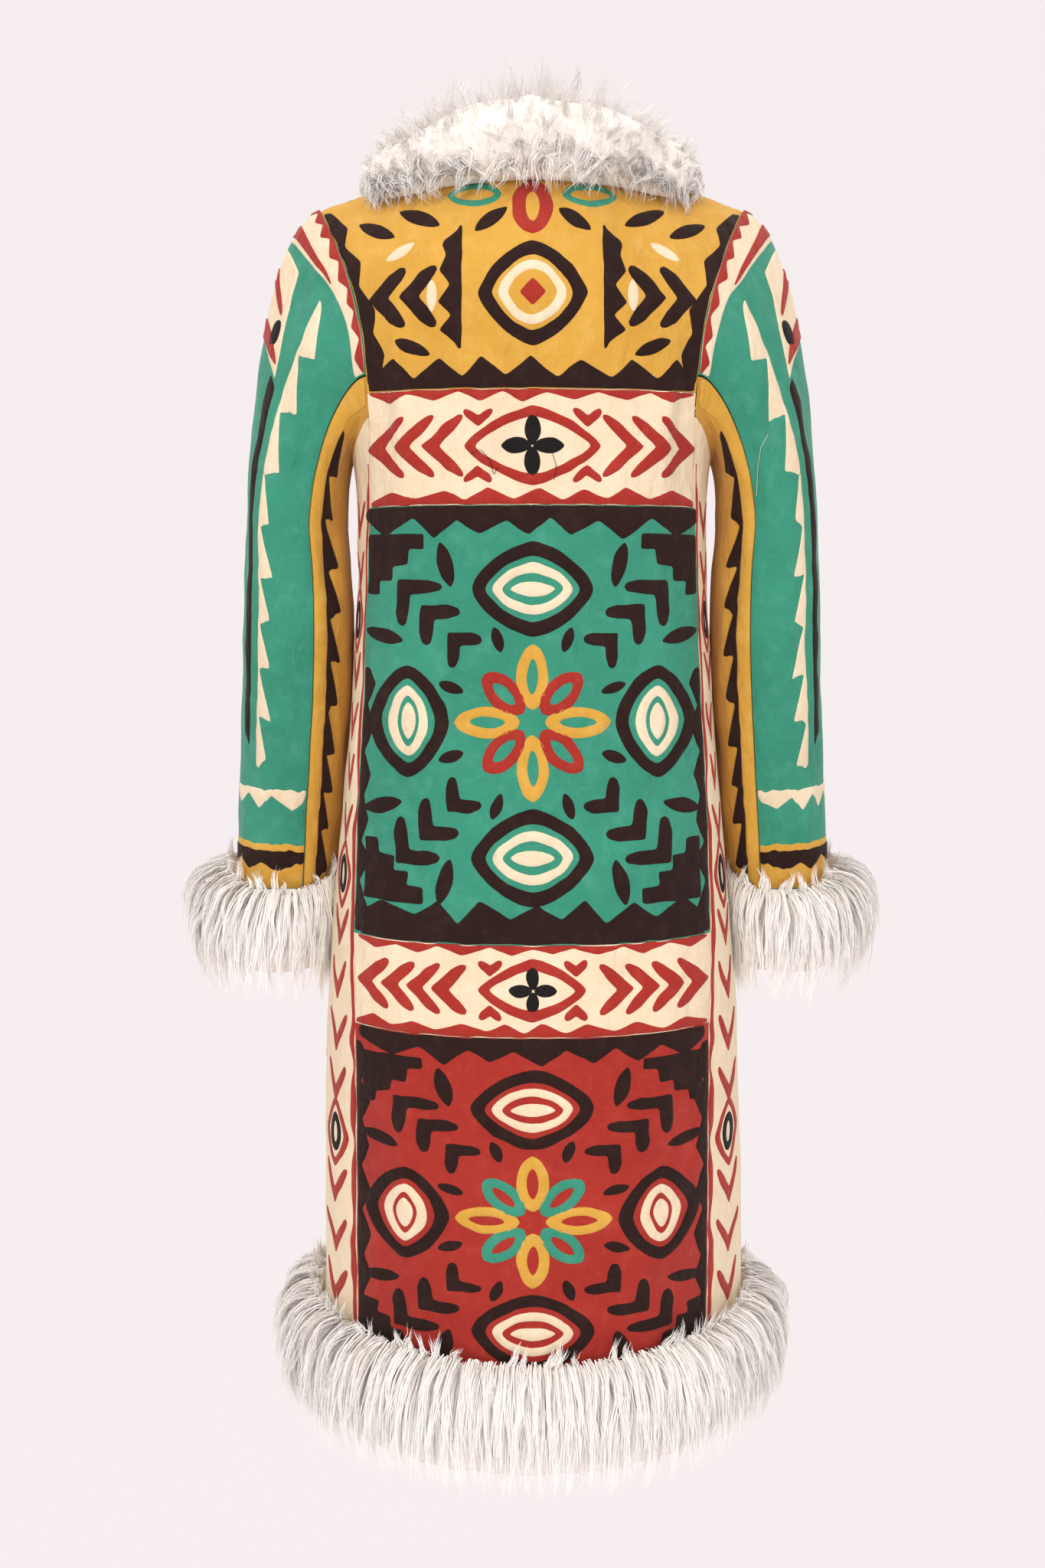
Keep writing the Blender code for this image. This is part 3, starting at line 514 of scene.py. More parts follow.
class Sleeve:
    """The left sleeve's outer surface as a fine table over the angle and the way down it."""

    def __init__(self):
        loop, normals = armhole()
        angle = arm_angles(loop)
        edge = unit(np.roll(loop, -1, axis=0) - np.roll(loop, 1, axis=0))
        away = unit(np.cross(edge, normals))
        start = loop - normals * WALL / 2 + away * SEAM
        self.along = np.concatenate((np.linspace(0, 1, 71), np.linspace(1, 2, 61)[1:]))
        step = 0.004
        rows, outward = [], []
        for along in self.along:
            here = sleeve_path(start, away, angle, along)
            ahead = sleeve_path(start, away, angle, min(along + step, 2.0))
            behind = sleeve_path(start, away, angle, max(along - step, 0.0))
            round_it = np.roll(here, -1, axis=0) - np.roll(here, 1, axis=0)
            rows.append(here)
            outward.append(unit(np.cross(ahead - behind, round_it)))
        outward[0] = normals
        rows, outward = np.array(rows), np.array(outward)
        outer = rows + outward * WALL / 2
        self.angle = np.concatenate((angle, [360.0]))
        self.points = np.concatenate((outer, outer[:, :1]), axis=1)
        self.normals = np.concatenate((outward, outward[:, :1]), axis=1)
        gaps = np.linalg.norm(np.diff(self.points, axis=0), axis=-1)
        self.walk = np.concatenate((np.zeros((1, gaps.shape[1])), np.cumsum(gaps, axis=0)))

    def read(self, table, angle, along):
        return bilinear(table, between(self.along, along), between(self.angle, np.mod(angle, 360.0)))

    def at_walk(self, angle, walk):
        """How far along the sleeve a point is that lies this many metres below the armhole."""
        low, high = np.zeros(np.shape(angle)), np.full(np.shape(angle), 2.0)
        for _ in range(22):
            middle = (low + high) / 2
            short = self.read(self.walk, angle, middle) < walk
            low, high = np.where(short, middle, low), np.where(short, high, middle)
        return (low + high) / 2


SLEEVE_TABLE = Sleeve()
ARM_GIRTH = 0.34


def on_sleeve(angle, along, hand):
    """Points of the left (hand 1) or right (hand -1) sleeve with their creases, and the way out."""
    angle, along = np.broadcast_arrays(np.asarray(angle, float), np.asarray(along, float))
    points = SLEEVE_TABLE.read(SLEEVE_TABLE.points, angle, along)
    normals = unit(SLEEVE_TABLE.read(SLEEVE_TABLE.normals, angle, along))
    down = SLEEVE_TABLE.read(SLEEVE_TABLE.walk, angle, along)
    metres = np.mod(angle, 360.0) / 360 * ARM_GIRTH
    relief = pucker(np.stack((metres, down), axis=-1), 61 if hand > 0 else 67)
    calm = np.clip(down / 0.012, 0, 1)
    for crease in SLEEVE_CREASES:
        if crease.hand == hand:
            across = (np.mod(angle - crease.angle + 180, 360.0) - 180) / 360 * ARM_GIRTH
            relief = relief + crease_shape(*leaning(across, down - crease.down, crease.lean), crease)
    seams = np.abs(np.abs(np.mod(angle + 180, 360.0) - 180) - SEAM_ANGLE) / 360 * ARM_GIRTH
    relief = relief * calm - 0.0008 * np.exp(-((seams / 0.0030) ** 2))
    points = points + normals * relief[..., None]
    flip = np.array((hand, 1.0, 1.0))
    return points * flip, normals * flip


# Materials


def new_material(name):
    made = bpy.data.materials.new(name)
    made.use_nodes = True
    tree = made.node_tree
    shader = tree.nodes["Principled BSDF"]
    return made, tree, shader


def node(tree, kind, **settings):
    made = tree.nodes.new(kind)
    for key, value in settings.items():
        if key in made.inputs:
            made.inputs[key].default_value = value
        else:
            setattr(made, key, value)
    return made


def link(tree, source, socket, target, entry):
    tree.links.new(source.outputs[socket], target.inputs[entry])


def blend_colours(tree, share, first, second):
    """A mix of two colours, each a colour or another node's output, by a share."""
    mix = tree.nodes.new("ShaderNodeMix")
    mix.data_type = "RGBA"
    tree.links.new(share, mix.inputs[0])
    for entry, value in ((6, first), (7, second)):
        if isinstance(value, tuple):
            mix.inputs[entry].default_value = (*value, 1.0)
        else:
            tree.links.new(value, mix.inputs[entry])
    return mix.outputs[2]


def stretched(tree, source, scale):
    mapped = node(tree, "ShaderNodeMapping")
    mapped.inputs["Scale"].default_value = scale
    tree.links.new(source, mapped.inputs["Vector"])
    return mapped.outputs["Vector"]


def fade(tree, source, low, high, start, end):
    ranged = node(tree, "ShaderNodeMapRange")
    for entry, value in zip(("From Min", "From Max", "To Min", "To Max"), (low, high, start, end)):
        ranged.inputs[entry].default_value = value
    tree.links.new(source, ranged.inputs["Value"])
    return ranged.outputs["Result"]


def grain(tree, vector, scale, detail):
    made = node(tree, "ShaderNodeTexNoise", Scale=scale, Detail=detail, Roughness=0.55)
    tree.links.new(vector, made.inputs["Vector"])
    return made.outputs["Fac"]


def cotton(name, colour, pale, deep, mottle=0.5, sheen=0.12):
    """Washed woven cotton: mottled dye, slubs, a plain weave and fine rumples."""
    made, tree, shader = new_material(name)
    place = node(tree, "ShaderNodeTexCoord").outputs["Object"]
    threads = node(tree, "ShaderNodeUVMap").outputs["UV"]
    cloudy = fade(tree, grain(tree, place, 16.0, 4.0), 0.34, 0.66, 0.0, mottle)
    worn = fade(tree, grain(tree, place, 70.0, 5.0), 0.50, 0.78, 0.0, 0.55)
    slubs = grain(tree, stretched(tree, threads, (90.0, 1400.0, 1.0)), 1.0, 2.0)
    slubs = fade(tree, slubs, 0.5, 0.8, 0.0, 0.35)
    warp_slubs = grain(tree, stretched(tree, threads, (1400.0, 90.0, 1.0)), 1.0, 2.0)
    warp_slubs = fade(tree, warp_slubs, 0.5, 0.8, 0.0, 0.35)
    shade = blend_colours(tree, cloudy, colour, deep)
    shade = blend_colours(tree, worn, shade, pale)
    shade = blend_colours(tree, slubs, shade, pale)
    shade = blend_colours(tree, warp_slubs, shade, deep)
    tree.links.new(shade, shader.inputs["Base Color"])
    shader.inputs["Roughness"].default_value = 0.88
    shader.inputs["Specular IOR Level"].default_value = 0.22
    shader.inputs["Sheen Weight"].default_value = sheen
    shader.inputs["Sheen Roughness"].default_value = 0.5
    weave = node(tree, "ShaderNodeMath", operation="ADD")
    for entry, direction in enumerate(("X", "Y")):
        wave = node(tree, "ShaderNodeTexWave", bands_direction=direction, Scale=330.0)
        wave.inputs["Distortion"].default_value = 1.2
        wave.inputs["Detail"].default_value = 1.0
        tree.links.new(threads, wave.inputs["Vector"])
        tree.links.new(wave.outputs["Fac"], weave.inputs[entry])
    rumple = grain(tree, stretched(tree, place, (1.0, 1.0, 0.55)), 95.0, 4.0)
    creased = grain(tree, stretched(tree, place, (1.0, 1.0, 0.4)), 38.0, 3.0)
    first = node(tree, "ShaderNodeBump", Strength=0.40, Distance=0.00018)
    second = node(tree, "ShaderNodeBump", Strength=0.90, Distance=0.0026)
    third = node(tree, "ShaderNodeBump", Strength=0.95, Distance=0.0060)
    tree.links.new(weave.outputs[0], first.inputs["Height"])
    tree.links.new(rumple, second.inputs["Height"])
    tree.links.new(creased, third.inputs["Height"])
    link(tree, third, "Normal", second, "Normal")
    link(tree, second, "Normal", first, "Normal")
    link(tree, first, "Normal", shader, "Normal")
    return made


def lamb_fur(name, root, tip, deep):
    """Long lamb hair, white at the tip and creamier towards the root as painted shade, each lock of its own
    tone.
    """
    made, tree, shader = new_material(name)
    along = node(tree, "ShaderNodeAttribute", attribute_name="along").outputs["Fac"]
    tone = node(tree, "ShaderNodeAttribute", attribute_name="tone").outputs["Fac"]
    # Painted shade: the colour darkens from the tip towards the root, where the hairs would shade each
    # other.
    shade = blend_colours(tree, fade(tree, along, 0.0, 0.75, 0.0, 1.0), root, tip)
    shade = blend_colours(tree, fade(tree, tone, 0.0, 1.0, 0.0, 0.40), shade, deep)
    tree.links.new(shade, shader.inputs["Base Color"])
    shader.inputs["Roughness"].default_value = 0.62
    shader.inputs["Specular IOR Level"].default_value = 0.28
    shader.inputs["Sheen Weight"].default_value = 0.25
    shader.inputs["Sheen Roughness"].default_value = 0.4
    return made


def under_fur(name, pale, deep):
    """The dense hair under the locks, streaked along its fall."""
    made, tree, shader = new_material(name)
    place = node(tree, "ShaderNodeTexCoord").outputs["Object"]
    streaks = grain(tree, stretched(tree, place, (1.0, 1.0, 0.22)), 260.0, 4.0)
    lumps = grain(tree, place, 45.0, 3.0)
    shade = blend_colours(tree, fade(tree, streaks, 0.35, 0.65, 0.0, 1.0), pale, deep)
    tree.links.new(shade, shader.inputs["Base Color"])
    shader.inputs["Roughness"].default_value = 0.9
    shader.inputs["Sheen Weight"].default_value = 0.2
    first = node(tree, "ShaderNodeBump", Strength=0.8, Distance=0.003)
    second = node(tree, "ShaderNodeBump", Strength=0.7, Distance=0.006)
    tree.links.new(streaks, first.inputs["Height"])
    tree.links.new(lumps, second.inputs["Height"])
    link(tree, second, "Normal", first, "Normal")
    link(tree, first, "Normal", shader, "Normal")
    return made


COTTON = {
    "yellow": cotton("cotton_yellow", (0.69, 0.375, 0.054), (0.76, 0.46, 0.12), (0.55, 0.265, 0.030)),
    "green": cotton("cotton_green", (0.040, 0.290, 0.188), (0.085, 0.37, 0.260), (0.022, 0.205, 0.128)),
    "red": cotton("cotton_red", (0.40, 0.028, 0.018), (0.48, 0.056, 0.036), (0.29, 0.016, 0.011)),
    "cream": cotton("cotton_cream", (0.86, 0.71, 0.50), (0.93, 0.81, 0.63), (0.74, 0.56, 0.36)),
    # The sleeves' underside ground is the yellow cloth made a little darker: painted shade under the arm.
    "shaded_yellow": cotton("cotton_ochre", (0.66, 0.34, 0.050), (0.72, 0.41, 0.085), (0.52, 0.25, 0.032)),
    "brown": cotton(
        "cotton_brown", (0.022, 0.007, 0.005), (0.046, 0.020, 0.015), (0.013, 0.004, 0.003), sheen=0.04),
    "black": cotton(
        "cotton_black", (0.009, 0.007, 0.007), (0.022, 0.018, 0.017), (0.005, 0.004, 0.004), sheen=0.04),
}
# The fur's root colour is the tip's colour made darker: painted shade deep among the hairs.
FUR = lamb_fur("fur_hair", (0.97, 0.925, 0.87), (0.99, 0.970, 0.945), (0.93, 0.86, 0.79))
UNDERCOAT = under_fur("fur_undercoat", (0.96, 0.92, 0.87), (0.88, 0.81, 0.74))


# Meshes


def mesh_piece(name, points, faces, materials, uv=None, material_index=None, normals=None, facts=None):
    """One mesh object that rides on the part's body. Faces are rows of 3 or 4 point numbers."""
    faces = np.asarray(faces, dtype=np.int32)
    points = np.asarray(points, dtype=np.float32).reshape(-1, 3)
    sides = faces.shape[1]
    mesh = bpy.data.meshes.new(name)
    mesh.vertices.add(len(points))
    mesh.vertices.foreach_set("co", points.reshape(-1))
    mesh.loops.add(faces.size)
    mesh.loops.foreach_set("vertex_index", faces.reshape(-1))
    mesh.polygons.add(len(faces))
    mesh.polygons.foreach_set("loop_start", np.arange(0, faces.size, sides, dtype=np.int32))
    mesh.update(calc_edges=True)
    mesh.validate()
    mesh.polygons.foreach_set("use_smooth", np.ones(len(faces), dtype=bool))
    for each in materials:
        mesh.materials.append(each)
    if material_index is not None:
        mesh.polygons.foreach_set("material_index", np.asarray(material_index, dtype=np.int32))
    if uv is not None:
        layer = mesh.uv_layers.new(name="UVMap")
        loops = np.empty(len(mesh.loops), dtype=np.int32)
        mesh.loops.foreach_get("vertex_index", loops)
        layer.data.foreach_set("uv", np.asarray(uv, dtype=np.float32)[loops].reshape(-1))
    for key, values in (facts or {}).items():
        mesh.attributes.new(key, "FLOAT", "POINT")
        mesh.attributes[key].data.foreach_set("value", np.asarray(values, dtype=np.float32))
    if normals is not None:
        mesh.normals_split_custom_set_from_vertices(np.asarray(normals, dtype=np.float32))
    made = bpy.data.objects.new(name, mesh)
    bpy.context.scene.collection.objects.link(made)
    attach(made, "root")
    return made


def grid_faces(rows, columns, first=0, flip=False):
    r, c = np.meshgrid(np.arange(rows - 1), np.arange(columns - 1), indexing="ij")
    a = (first + r * columns + c).reshape(-1)
    quads = np.stack((a, a + 1, a + columns + 1, a + columns), axis=1)
    return quads[:, ::-1] if flip else quads


def cloth_wall(name, outer, normals, uv, materials, row_materials=None):
    """A thin closed wall over a grid of outer points, its inner side plain."""
    rows, columns = outer.shape[:2]
    layer = rows * columns
    points = np.concatenate((outer.reshape(-1, 3), (outer - normals * CLOTH).reshape(-1, 3)))
    across = outer[1:-1, 1:-1] - outer[1:-1, :-2]
    up = outer[2:, 1:-1] - outer[1:-1, 1:-1]
    faces_out = (np.cross(across, up) * normals[1:-1, 1:-1]).sum() > 0
    skin = grid_faces(rows, columns, flip=not faces_out)
    lining = grid_faces(rows, columns, first=layer, flip=faces_out)
    bottom = np.arange(columns)
    right = np.arange(1, rows) * columns + columns - 1
    top = (rows - 1) * columns + np.arange(columns - 2, -1, -1)
    left = np.arange(rows - 2, 0, -1) * columns
    rim = np.concatenate((bottom, right, top, left))
    onward = np.roll(rim, -1)
    edges = np.stack((rim, layer + rim, layer + onward, onward), axis=1)
    edges = edges if faces_out else edges[:, ::-1]
    index = None
    if row_materials is not None:
        per_face = np.repeat(np.asarray(row_materials), columns - 1)
        index = np.concatenate((per_face, per_face, np.zeros(len(edges), dtype=int)))
    both = np.concatenate((uv.reshape(-1, 2), uv.reshape(-1, 2)))
    made = mesh_piece(name, points, np.concatenate((skin, lining, edges)), materials, both, index)
    made.data.set_sharp_from_angle(angle=np.radians(50))
    return made


# Flat shapes of the applique. Each is an outline of x and z in metres, with the outlines of its holes.

Patch = namedtuple("Patch", "outline holes")


def patch(outline, *holes):
    return Patch(np.asarray(outline, float), [np.asarray(hole, float) for hole in holes])


def placed(points, centre, angle=0.0):
    turn = np.radians(angle)
    x, z = points[:, 0], points[:, 1]
    turned = np.stack((x * np.cos(turn) - z * np.sin(turn), x * np.sin(turn) + z * np.cos(turn)), axis=1)
    return turned + np.asarray(centre)


def oval(centre, wide, tall, power=2.0, angle=0.0):
    """A rounded outline: power 2 is an ellipse, less is nearer a diamond, more is nearer a box."""
    t = np.linspace(0, 2 * np.pi, 41)[:-1]
    cos, sin = np.cos(t), np.sin(t)
    x = wide * np.sign(cos) * np.abs(cos) ** (2 / power)
    z = tall * np.sign(sin) * np.abs(sin) ** (2 / power)
    return placed(np.stack((x, z), axis=1), centre, angle)


def ring(centre, wide, tall, thick, power=2.0, angle=0.0):
    hole = oval(centre, wide - thick, tall - thick, power, angle)
    return patch(oval(centre, wide, tall, power, angle), hole)


def leaf_outline(centre, long, wide, angle=0.0, blunt=0.75):
    """A leaf along its angle, pointed at both ends."""
    t = np.linspace(-1, 1, 15)
    half = wide / 2 * (1 - t * t) ** blunt
    x = np.concatenate((t, t[-2:0:-1])) * long / 2
    z = np.concatenate((half, -half[-2:0:-1]))
    return placed(np.stack((x, z), axis=1), centre, angle)


def leaf(centre, long, wide, angle=0.0, blunt=0.75):
    return patch(leaf_outline(centre, long, wide, angle, blunt))


def slit_leaf(centre, long, wide, angle=0.0):
    """A leaf or petal with a leaf-shaped slit that lets the ground show."""
    hole = leaf_outline(centre, long * 0.56, wide * 0.34, angle)
    return patch(leaf_outline(centre, long, wide, angle, 0.6), hole)


# Points round one arm of a chevron, as shares of its length and of its thickness.
ARM_OF_CHEVRON = (
    (0.30, -0.50), (0.62, -0.52), (0.92, -0.30), (1.0, 0.0), (0.93, 0.30), (0.62, 0.46), (0.30, 0.50),
)


def chevron(tip, arm, spread, thick, angle=0.0):
    """A V whose point is at the tip and looks along the angle, its arms tapering to rounded ends."""
    outline = []
    for turn in (180 - spread, 180 + spread):
        way = np.array((np.cos(np.radians(turn)), np.sin(np.radians(turn))))
        side = np.array((-way[1], way[0])) * (1 if turn < 180 else -1)
        outline.append([way * arm * t + side * thick * w for t, w in ARM_OF_CHEVRON])
    first, second = outline
    notch = thick / (2 * np.sin(np.radians(spread)))
    inner = np.array((-notch - thick * 0.05, 0.0))
    outer = np.array((notch, 0.0))
    points = [outer, *first, inner, *second[::-1]]
    return patch(placed(np.array(points), tip, angle))


def diamond(centre, wide, tall):
    corners = np.array(((wide, 0.0), (0.0, tall), (-wide, 0.0), (0.0, -tall)))
    return patch(corners + np.asarray(centre))


def toothed(start, end, base, height, pitch, seed):
    """A strip from start to end in strip coordinates, with uneven teeth on its upper side."""
    draw = np.random.default_rng(seed)
    count = max(1, round((end - start) / pitch))
    widths = 1 + draw.uniform(-0.16, 0.16, count)
    ends = start + np.concatenate(([0.0], np.cumsum(widths))) / widths.sum() * (end - start)
    outline = [(start, 0.0)]
    outline += [(s, 0.0) for s in ends[1:]]
    for i in range(count - 1, -1, -1):
        valley = base * (1 + draw.uniform(-0.25, 0.25))
        peak = base + height * (1 + draw.uniform(-0.18, 0.14))
        middle = ends[i] + (ends[i + 1] - ends[i]) * draw.uniform(0.42, 0.58)
        if i == count - 1:
            outline.append((ends[i + 1], base))
        outline.append((middle, peak))
        outline.append((ends[i], valley))
    return np.array(outline)


def level_strip(z, low_x, high_x, base, height, pitch, seed, up=1):
    strip = toothed(low_x, high_x, base, height, pitch, seed)
    return patch(np.stack((strip[:, 0], z + up * strip[:, 1]), axis=1))


def upright_strip(line, low, high, base, height, pitch, seed, out=-1, ends=0.0):
    """A toothed strip up a line that gives x for each height, thinner at its ends where they are long."""
    strip = refined(toothed(low, high, base, height, pitch, seed), 0.006)
    up, across = strip[:, 0], strip[:, 1]
    if ends:
        across = across * np.clip(np.minimum(up - low, high - up) / ends, 0.2, 1)
    return patch(np.stack((line(up) + out * across, up), axis=1))


def panel_line(z):
    return panel_edge(z) - 0.0005


def corner_piece(corner, wide, tall, seed):
    """A triangle in a corner with teeth on its long side. Wide and tall have the sign of their way in."""
    corner = np.asarray(corner, float)
    start, end = corner + (wide, 0.0), corner + (0.0, tall)
    inward = np.array((np.sign(wide) * abs(tall), np.sign(tall) * abs(wide)))
    teeth = toothed(0.0, 1.0, 0.0, 0.0090, 0.25, seed)[-9:]
    side = start + (end - start) * teeth[:, :1] + unit(inward) * teeth[:, 1:]
    return patch(np.concatenate((corner[None, :], side)))


def refined(outline, step):
    """The same closed outline with no side longer than the step."""
    points = []
    for a, b in zip(outline, np.roll(outline, -1, axis=0)):
        count = max(1, int(np.ceil(np.linalg.norm(b - a) / step)))
        points += [a + (b - a) * i / count for i in range(count)]
    return np.array(points)


def swing(outline):
    """Twice the outline's area, positive where it runs anticlockwise."""
    x, z = outline[:, 0], outline[:, 1]
    return float((x * np.roll(z, -1) - np.roll(x, -1) * z).sum())


def inside(points, loops):
    hit = np.zeros(len(points), dtype=bool)
    for loop in loops:
        a, b = loop, np.roll(loop, -1, axis=0)
        above = (a[None, :, 1] > points[:, None, 1]) != (b[None, :, 1] > points[:, None, 1])
        rise = b[:, 1] - a[:, 1]
        rise = np.where(np.abs(rise) < 1e-12, 1e-12, rise)
        cross = a[None, :, 0] + (points[:, None, 1] - a[None, :, 1]) / rise * (b[:, 0] - a[:, 0])
        hit ^= ((above & (points[:, None, 0] < cross)).sum(axis=1) % 2).astype(bool)
    return hit


def nearest(points, loops):
    every = np.concatenate(loops)
    return np.sqrt(((points[:, None, :] - every[None, :, :]) ** 2).sum(axis=2)).min(axis=1)


def turned_edge(loop, hole, metric):
    """The outline as cut and turned under by hand: wavering a little, with its corners softened."""
    loop = loop * metric
    if (swing(loop) > 0) == hole:
        loop = loop[::-1]
    loop = refined(loop, APPLIQUE_STEP)
    loop = (np.roll(loop, 1, axis=0) + 3 * loop + np.roll(loop, -1, axis=0)) / 5
    waver = np.stack((noise(loop, 0.011, 71), noise(loop, 0.011, 73)), axis=1) * EDGE_WOBBLE
    return loop + waver


def flat_mesh(shape, metric):
    """Points, triangles and lift shares of one patch, in metres on the flat."""
    loops = [turned_edge(shape.outline, False, metric)]
    loops += [turned_edge(hole, True, metric) for hole in shape.holes]
    border = np.concatenate(loops)
    rings = []
    for loop in loops:
        way = unit(np.roll(loop, -1, axis=0) - np.roll(loop, 1, axis=0))
        rings.append(loop + np.stack((-way[:, 1], way[:, 0]), axis=1) * APPLIQUE_EDGE)
    fold = np.concatenate(rings)
    fold = fold[inside(fold, loops)]
    if len(fold):
        fold = fold[nearest(fold, loops) > APPLIQUE_EDGE * 0.55]
    low, high = border.min(axis=0), border.max(axis=0)
    xs = np.arange(low[0], high[0], APPLIQUE_GRID)
    zs = np.arange(low[1], high[1], APPLIQUE_GRID * 0.87)
    x, z = np.meshgrid(xs, zs, indexing="ij")
    x = x + (np.arange(len(zs)) % 2)[None, :] * APPLIQUE_GRID / 2
    middle = np.stack((x.reshape(-1), z.reshape(-1)), axis=1)
    middle = middle[inside(middle, loops)]
    if len(middle):
        middle = middle[nearest(middle, loops) > APPLIQUE_EDGE * 2.6]
    points = np.concatenate([each for each in (border, fold, middle) if len(each)])
    sides, first = [], 0
    for loop in loops:
        count = len(loop)
        sides += [(first + i, first + (i + 1) % count) for i in range(count)]
        first += count
    found, _, faces, origins, _, _ = delaunay_2d_cdt([Vector(p) for p in points], sides, [], 0, 1e-7)
    flat = np.array([(v.x, v.y) for v in found])
    on_border = np.array([not each or min(each) < len(border) for each in origins])
    faces = np.array(faces)
    faces = faces[inside(flat[faces].mean(axis=1), loops)]
    return flat, faces, on_border


def applique(name, shapes, colour, place, metric=(1.0, 1.0), level=0):
    """One joined mesh of all patches of a colour, laid on the surface that place gives."""
    metric = np.asarray(metric)
    points, faces, borders = [], [], []
    first = 0
    for shape in shapes:
        flat, triangles, on_border = flat_mesh(shape, metric)
        points.append(flat)
        faces.append(triangles + first)
        borders.append(on_border)
        first += len(flat)
    flat, faces, borders = np.concatenate(points), np.concatenate(faces), np.concatenate(borders)
    used = flat / metric
    surface, normals = place(used[:, 0], used[:, 1])
    lift = np.where(borders, -0.00012, APPLIQUE_LIFT) + level * APPLIQUE_LIFT
    laid = surface + normals * lift[:, None]
    a, b, c = laid[faces[:, 0]], laid[faces[:, 1]], laid[faces[:, 2]]
    wrong = (np.cross(b - a, c - a) * normals[faces[:, 0]]).sum(axis=1) < 0
    faces[wrong] = faces[wrong][:, ::-1]
    made = mesh_piece(name, laid, faces, [COTTON[colour]], uv=flat)
    return made


def dress(ground, design, place, metric=(1.0, 1.0), level=0):
    """All patches of a design on one ground, a mesh for each colour."""
    made = []
    for colour, shapes in design.items():
        if not shapes:
            continue
        made.append(applique(f"{ground}_applique_{colour}", shapes, colour, place, metric, level))
    return made


# Designs


def mirrored_patch(shape):
    flip = np.array((-1.0, 1.0))
    return Patch(shape.outline * flip, [hole * flip for hole in shape.holes])


def both(shapes):
    return shapes + [mirrored_patch(shape) for shape in shapes]


def new_design():
    return {colour: [] for colour in ("brown", "cream", "red", "yellow", "green", "black")}


def medallion(design, centre, wide, tall, outer="brown", inner="cream"):
    """A ring round a second ring and a leaf."""
    design[outer].append(ring(centre, wide, tall, 0.0125, 1.5))
    design[inner].append(ring(centre, wide - 0.0180, tall - 0.0180, 0.0088, 1.6))
    long = 1.5 * (max(wide, tall) - 0.0265)
    design[inner].append(leaf(centre, long, 0.0135, 0 if wide > tall else 90))


def rosette(design, centre, radius, colours):
    """Eight slit petals in two colours."""
    for turn in range(8):
        way = np.array((np.cos(np.radians(45 * turn)), np.sin(np.radians(45 * turn))))
        long = radius - 0.010 if turn % 2 == 0 else 0.88 * radius - 0.010
        middle = np.asarray(centre) + way * (0.010 + long / 2)
        design[colours[turn % 2]].append(slit_leaf(middle, long, 0.41 * radius, 45 * turn))


def flower(centre, long, wide):
    """Four leaves on the axes."""
    leaves = []
    for angle in (0, 90, 180, 270):
        way = np.array((np.cos(np.radians(angle)), np.sin(np.radians(angle))))
        leaves.append(leaf(np.asarray(centre) + long / 2 * way, long, wide, angle))
    return leaves


def yoke_design():
    design = new_design()
    low = UPPER_BAND_TOP + SEAM
    wide = float(panel_edge(low)) - 0.001
    level = -0.1335
    design["brown"] += [
        level_strip(low, -wide, wide, 0.0105, 0.0165, 0.041, 3),
        ring((0.0, level), 0.0465, 0.0455, 0.0125, 1.45),
    ]
    design["brown"] += both([
        upright_strip(panel_line, -0.208, -0.046, 0.0085, 0.0085, 0.036, 5),
        upright_strip(lambda z: 0.060 + 0 * z, -0.181, -0.072, 0.0115, 0.0080, 0.027, 6, 1, 0.016),
        chevron((0.106, level - 0.002), 0.036, 48, 0.0130),
        chevron((0.1330, level - 0.002), 0.036, 48, 0.0130),
        leaf((0.098, -0.062), 0.042, 0.0135, 26),
        leaf((0.136, -0.071), 0.038, 0.0130, 26),
        leaf((0.036, -0.0665), 0.036, 0.0130, -38),
        leaf((0.102, -0.179), 0.034, 0.0120, 24),
    ])
    design["cream"].append(ring((0.0, level), 0.0290, 0.0285, 0.0088, 1.6))
    design["cream"] += both([
        leaf((0.0855, level - 0.002), 0.030, 0.0095, 90),
        leaf((0.114, -0.094), 0.030, 0.0100, -32),
    ])
    design["red"] += [diamond((0.0, level), 0.0120, 0.0125), slit_leaf((0.0, -0.055), 0.056, 0.036, 90)]
    design["green"] += both([ring((0.050, -0.042), 0.024, 0.013, 0.0070, 1.7)])
    return design


def band_design(low, high, wide, tall, tips, seeds, base):
    """A cream band: red teeth on both edges, a ring with a black flower and chevrons running outward."""
    design = new_design()
    level = (low + high) / 2 + 0.001
    design["red"] += [
        level_strip(high - SEAM, -wide, wide, 0.0020, base, 0.038, seeds, up=-1),
        level_strip(low + SEAM, -wide, wide, 0.0042, base * 1.15, 0.038, seeds + 2),
        ring((0.0, level), 1.72 * tall, tall, 0.0098, 1.3),
    ]
    for tip in tips:
        design["red"] += both([chevron((tip, level), tall * 1.16, 42, 0.0100)])
    for north in (1, -1):
        tip = (1.36 * tall, level + north * 0.60 * tall)
        design["red"] += both([chevron(tip, 0.48 * tall, 50, 0.0075, -90 * north)])
    design["black"] += flower((0.0, level), tall * 0.80, tall * 0.42)
    return design


def scaled(shape, middle, share, floor):
    """A shape drawn closer to a height, and cut off level at the lowest height that it may reach."""
    def moved(points):
        return np.stack((points[:, 0], np.maximum(middle + (points[:, 1] - middle) * share, floor)), axis=1)
    return Patch(moved(shape.outline), [moved(hole) for hole in shape.holes])


BLOCK_HALF = 0.1835


